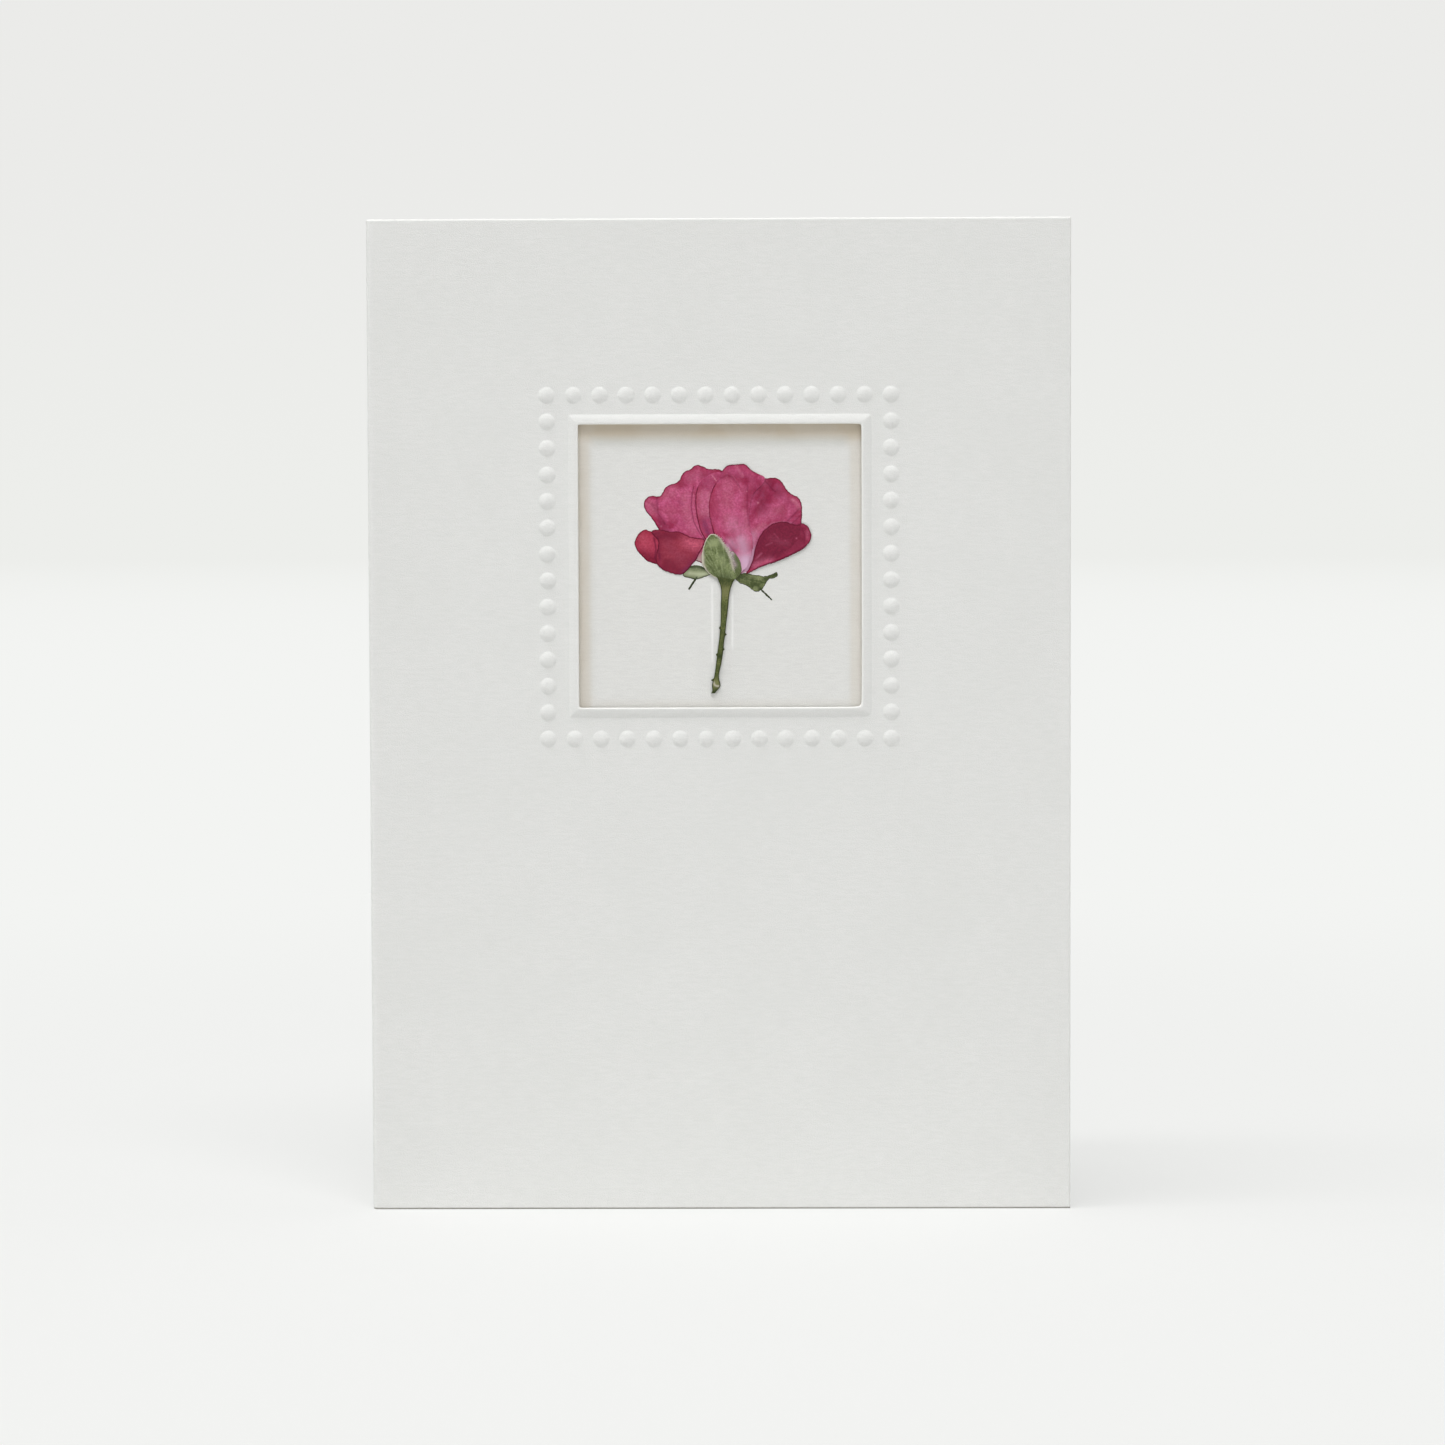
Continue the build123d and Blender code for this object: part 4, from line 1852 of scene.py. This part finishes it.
            (0.5, 0.55, (5.4, 1.3), (4.6, 1.4)),
            (0.5, 0.8, (9.4, 4.2), (8.0, 3.4), (7.2, 3.1))),
    ), over=("back_right_petal",), over_strength=0.97), PetalSkin(
        "petal_front_right", body=ink(184, 70, 106), blush=ink(150, 42, 70),
        wine=ink(120, 38, 61), light=ink(220, 120, 154), grain=0.3, speckle=0.22,
    )),
)
SEPALS = (
    (Blade("left_sepal", (-1.0, 0.6), (
        *strokes(Mark.FOLD,
            # The first stroke is painted shade along the sepal's top, under the front left petal.
            (0.3, 0.85, (-5.6, 1.7), (-4.4, 1.8), (-3.2, 1.5)),
            (0.2, 1.0, (-6.8, 0.4), (-5.4, 0.0), (-4.4, -0.18), (-3.4, 0.1), (-2.2, 0.5)),
            (0.2, 0.9, (-4.4, 0.12), (-4.9, -0.7), (-5.56, -1.62))),
        *strokes(Mark.LIGHT,
            (0.34, 0.9, (-5.4, 0.8), (-3.6, 0.6), (-2.4, 0.7))),
        *strokes(Mark.SOFT,
            (0.4, 1.0, (-5.9, 1.4), (-5.0, 1.95), (-4.1, 1.95), (-3.0, 1.4), (-2.0, 0.9))),
    ), slot="sepal", waves=0.03, ragged=0.06), SepalSkin(
        "sepal_left", body=ink(162, 170, 136), shade=ink(122, 132, 96),
        light=ink(188, 194, 160), margin=ink(60, 66, 44), line=0.14,
    )),
    (Blade("right_sepal", (1.2, -0.2), (
        *strokes(Mark.FOLD,
            (0.26, 0.5, (1.5, 0.0), (2.4, 0.1), (3.2, 0.0)),
            (0.12, 0.35, (3.4, -0.2), (5.0, -0.4), (6.4, 0.2)),
            (0.25, 0.8, (5.1, -1.6), (6.0, -2.4), (6.9, -3.3)),
            (0.3, 0.6, (7.3, 0.6), (7.7, 0.6)),
            (0.12, 0.4, (4.0, -1.3), (4.5, -0.7))),
        *strokes(Mark.LIGHT,
            (0.25, 0.35, (3.6, 0.3), (5.2, 0.0)),
            (0.2, 0.35, (4.2, -1.6), (4.9, -1.5))),
    ), slot="sepal", waves=0.06, ridge=0.08, ragged=0.14), SepalSkin(
        "sepal_right", body=ink(142, 152, 104), shade=ink(70, 81, 45), light=ink(156, 162, 120),
        margin=ink(56, 62, 40), line=0.11, streaks=0.35, flecks=0.7,
    )),
    (Blade("rear_sepal", (1.2, -0.3), (
        *strokes(Mark.PALE,
            (0.4, 0.9, (1.2, 4.1), (0.7, 3.5), (0.9, 2.6), (1.2, 2.0))),
    ), slot="sepal", waves=0.03), SepalSkin(
        "sepal_rear", body=ink(106, 116, 78), light=ink(142, 150, 108),
        margin=ink(112, 120, 84), pale=ink(196, 172, 182), line=0.08,
    )),
    (Blade("front_sepal", (-0.2, -1.2), (
        *strokes(Mark.FOLD,
            (0.6, 0.18, (-1.3, 0.3), (-2.2, 1.4)),
            (0.5, 0.4, (-0.6, 0.2), (0.6, 0.3))),
        *strokes(Mark.LIGHT,
            (0.6, 0.6, (-2.2, 5.2), (-1.6, 5.3)),
            (0.5, 0.35, (-0.7, 3.4), (-0.2, 2.0))),
        *strokes(Mark.PALE,
            (0.28, 0.95, (-0.8, 6.0), (0.25, 4.4), (0.9, 2.9), (1.2, 1.5)),
            (0.26, 0.9, (-3.55, 4.0), (-3.45, 2.1), (-2.85, 0.7))),
        *strokes(Mark.SOFT,
            (0.5, 1.0, (-0.6, -0.3), (0.4, -0.4), (1.4, 0.0), (1.3, 1.2))),
    ), slot="sepal", waves=0.02, ragged=0.06), SepalSkin(
        "sepal_front", body=ink(142, 154, 104), shade=ink(66, 80, 38), light=ink(174, 184, 138),
        streaks=0.55,
    )),
)


@dataclass
class PressedFlower:
    """The pressed rose: petals, sepals, stem and hairs."""

    joint: Place = (1.0, 94.9)
    press: float = 0.5
    down: tuple[Tuft, ...] = (
        Tuft(((-1.6, 6.3), (-0.8, 5.8), (0.2, 4.3), (0.8, 2.6)), 120, 35, 35, (0.15, 0.5)),
        Tuft(((0.1, 4.4), (0.5, 3.4), (0.9, 2.2), (1.2, 1.2)), 150, 50, 60, (0.2, 0.6)),
        Tuft(((-3.5, 2.6), (-3.5, 3.9), (-3.0, 5.5)), 24, 150, 30, (0.08, 0.2)),
    )
    down_rise: float = 0.04
    bark: SepalSkin = SepalSkin(
        "stem_bark", body=ink(122, 128, 76), shade=ink(70, 82, 42), light=ink(158, 156, 106),
        margin=ink(64, 72, 38), line=0.2, streaks=0.45, flecks=0.85,
    )

    def build(self, frame: dict, effects: Effects, surface: float) -> None:
        """Makes every piece of the flower.

        Args:
            frame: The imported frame.
            effects: The shared effects.
            surface: The Y of the backing sheet's face.
        """
        for blade, skin in PETALS + SEPALS:
            blade.build(frame, self.joint, surface, self.press, skin.make(effects))
        Stem().build(frame, self.joint, self.bark.make(effects))
        pale = HairSkin("pale_hair", root=ink(214, 206, 188), tip=ink(238, 234, 224))
        face = surface + self.press * (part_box("front_sepal")[0].y / MM - surface) + self.down_rise
        hairs = Hairs("sepal_down", self.down, thickness=0.055, depth=0.06, slot="sepal")
        hairs.build(self.joint, face, pale.make(effects))


# Studio


@dataclass
class Studio:
    """The pale floor, the soft light and the camera."""

    eye: tuple[float, float, float] = (6.66, -630.45, 103.26)
    tilt: tuple[float, float, float] = (87.1458, 0.1924, 0.5869)
    lens: float = 100.0
    sensor: float = 36.0
    clip: Pair = (0.01, 100.0)
    floor: Colour = ink(233, 233, 232)
    near_glow: Colour = ink(243, 244, 242)
    far_glow: Colour = ink(237, 238, 235)
    high_glow: Colour = ink(235, 235, 233)
    sky: float = 0.25
    sky_climb: Pair = (-0.01, 0.1)
    key: float = 200.0
    key_place: tuple[float, float, float] = (-0.75, -1.4, 3.98)
    key_size: Pair = (6.0, 1.4)
    aim: tuple[float, float, float] = (0.0, 0.0, 0.075)
    least_glow: float = 0.65
    glow_from: Pair = (0.1, 0.5)
    pale_from: Pair = (1.5, 12.0)
    floor_rough: float = 0.95
    floor_gloss: float = 0.1
    floor_reach: Pair = (100.0, 30000.0)
    floor_steps: int = 20

    def camera(self) -> None:
        """Places the camera at the photograph's viewing angle."""
        data = bpy.data.cameras.new("camera")
        data.lens = self.lens
        data.sensor_width = self.sensor
        data.clip_start, data.clip_end = self.clip
        camera = bpy.data.objects.new("camera", data)
        camera.location = Vector(self.eye) * MM
        camera.rotation_euler = Euler([math.radians(angle) for angle in self.tilt])
        bpy.context.scene.collection.objects.link(camera)
        bpy.context.scene.camera = camera

    def lamp(self, name: str, place: tuple[float, ...], size: Pair, power: float) -> None:
        """Adds a soft lamp that faces the card.

        Args:
            name: The lamp's name.
            place: Where it hangs, in metres.
            size: Its width and height in metres.
            power: Its power in watts.
        """
        data = bpy.data.lights.new(name, "AREA")
        data.shape = "RECTANGLE"
        data.size, data.size_y = size
        data.energy = power
        lamp = bpy.data.objects.new(name, data)
        lamp.location = place
        lamp.rotation_euler = (Vector(self.aim) - Vector(place)).to_track_quat("-Z", "Y").to_euler()
        bpy.context.scene.collection.objects.link(lamp)

    def world(self) -> None:
        """Lights the scene evenly, and shows a pale grey behind the floor."""
        world = bpy.data.worlds.new("studio")
        world.use_nodes = True
        bpy.context.scene.world = world
        graph = Graph(world.node_tree)
        graph.tree.nodes.clear()
        light = graph.add("ShaderNodeBackground")
        light.inputs["Color"].default_value = (1.0, 1.0, 1.0, 1.0)
        light.inputs["Strength"].default_value = self.sky
        seen = graph.add("ShaderNodeBackground")
        heading = graph.add("ShaderNodeSeparateXYZ")
        graph.feed(heading.inputs[0], graph.add("ShaderNodeTexCoord").outputs["Generated"])
        climb = graph.range(heading.outputs["Z"], *self.sky_climb)
        graph.feed(seen.inputs["Color"], graph.mix(climb, self.far_glow, self.high_glow))
        mix = graph.add("ShaderNodeMixShader")
        graph.feed(mix.inputs[0], self.direct(graph))
        graph.feed(mix.inputs[1], light.outputs[0])
        graph.feed(mix.inputs[2], seen.outputs[0])
        graph.feed(graph.add("ShaderNodeOutputWorld").inputs[0], mix.outputs[0])

    @staticmethod
    def direct(graph: Graph) -> bpy.types.NodeSocket:
        """Tells where the camera sees a surface, also through glass or in a gloss.

        Args:
            graph: The graph that asks.

        Returns:
            1 there, and 0 elsewhere.
        """
        path = graph.add("ShaderNodeLightPath")
        seen = graph.math("MAXIMUM", path.outputs["Is Camera Ray"], path.outputs["Is Glossy Ray"])
        return graph.math("MAXIMUM", seen, path.outputs["Is Transmission Ray"])

    def ground(self) -> None:
        """Lays the floor, which pales into the background far away."""
        out = np.geomspace(*self.floor_reach, self.floor_steps)
        steps = np.concatenate([-out[::-1], [0], out])
        count = len(steps)
        points = [(x, y, 0.0) for y in steps for x in steps]
        faces = [(r * count + c, r * count + c + 1, (r + 1) * count + c + 1, (r + 1) * count + c)
                 for r in range(count - 1) for c in range(count - 1)]
        floor = make_piece("floor", np.array(points), faces)
        coat = Coat("floor")
        graph, coat.colour = coat.graph, self.floor
        coat.shader.inputs["Roughness"].default_value = self.floor_rough
        far = graph.add("ShaderNodeVectorMath", operation="LENGTH")
        graph.feed(far.inputs[0], graph.add("ShaderNodeTexCoord").outputs["Object"])
        glow = graph.add("ShaderNodeEmission")
        rim = graph.range(far.outputs["Value"], *self.pale_from)
        graph.feed(glow.inputs["Color"], graph.mix(rim, self.near_glow, self.far_glow))
        mix = graph.add("ShaderNodeMixShader")
        away = graph.range(far.outputs["Value"], *self.glow_from, self.least_glow, 1.0)
        graph.feed(mix.inputs[0], graph.share(away, self.direct(graph)))
        graph.feed(mix.inputs[1], coat.shader.outputs[0])
        graph.feed(mix.inputs[2], glow.outputs[0])
        graph.feed(coat.result.inputs["Surface"], mix.outputs[0])
        floor.data.materials.append(coat.close(self.floor_gloss))

    def build(self) -> None:
        """Sets up the studio."""
        bpy.context.scene.view_settings.view_transform = "Standard"
        self.camera()
        self.world()
        self.ground()
        self.lamp("key", self.key_place, self.key_size, self.key)


def main() -> None:
    """Builds the card, its flower and the studio."""
    logging.basicConfig(level=logging.INFO, format="%(relativeCreated)d ms %(message)s")
    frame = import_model()
    Studio().build()
    effects = Effects()
    card = FoldedCard()
    card.build(CardStock().make(effects))
    backing = BackingSheet(card)
    backing.build(BackingPaper().make(effects))
    PressedFlower().build(frame, effects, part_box("backing_sheet")[0].y / MM)


if __name__ == "__main__":
    main()
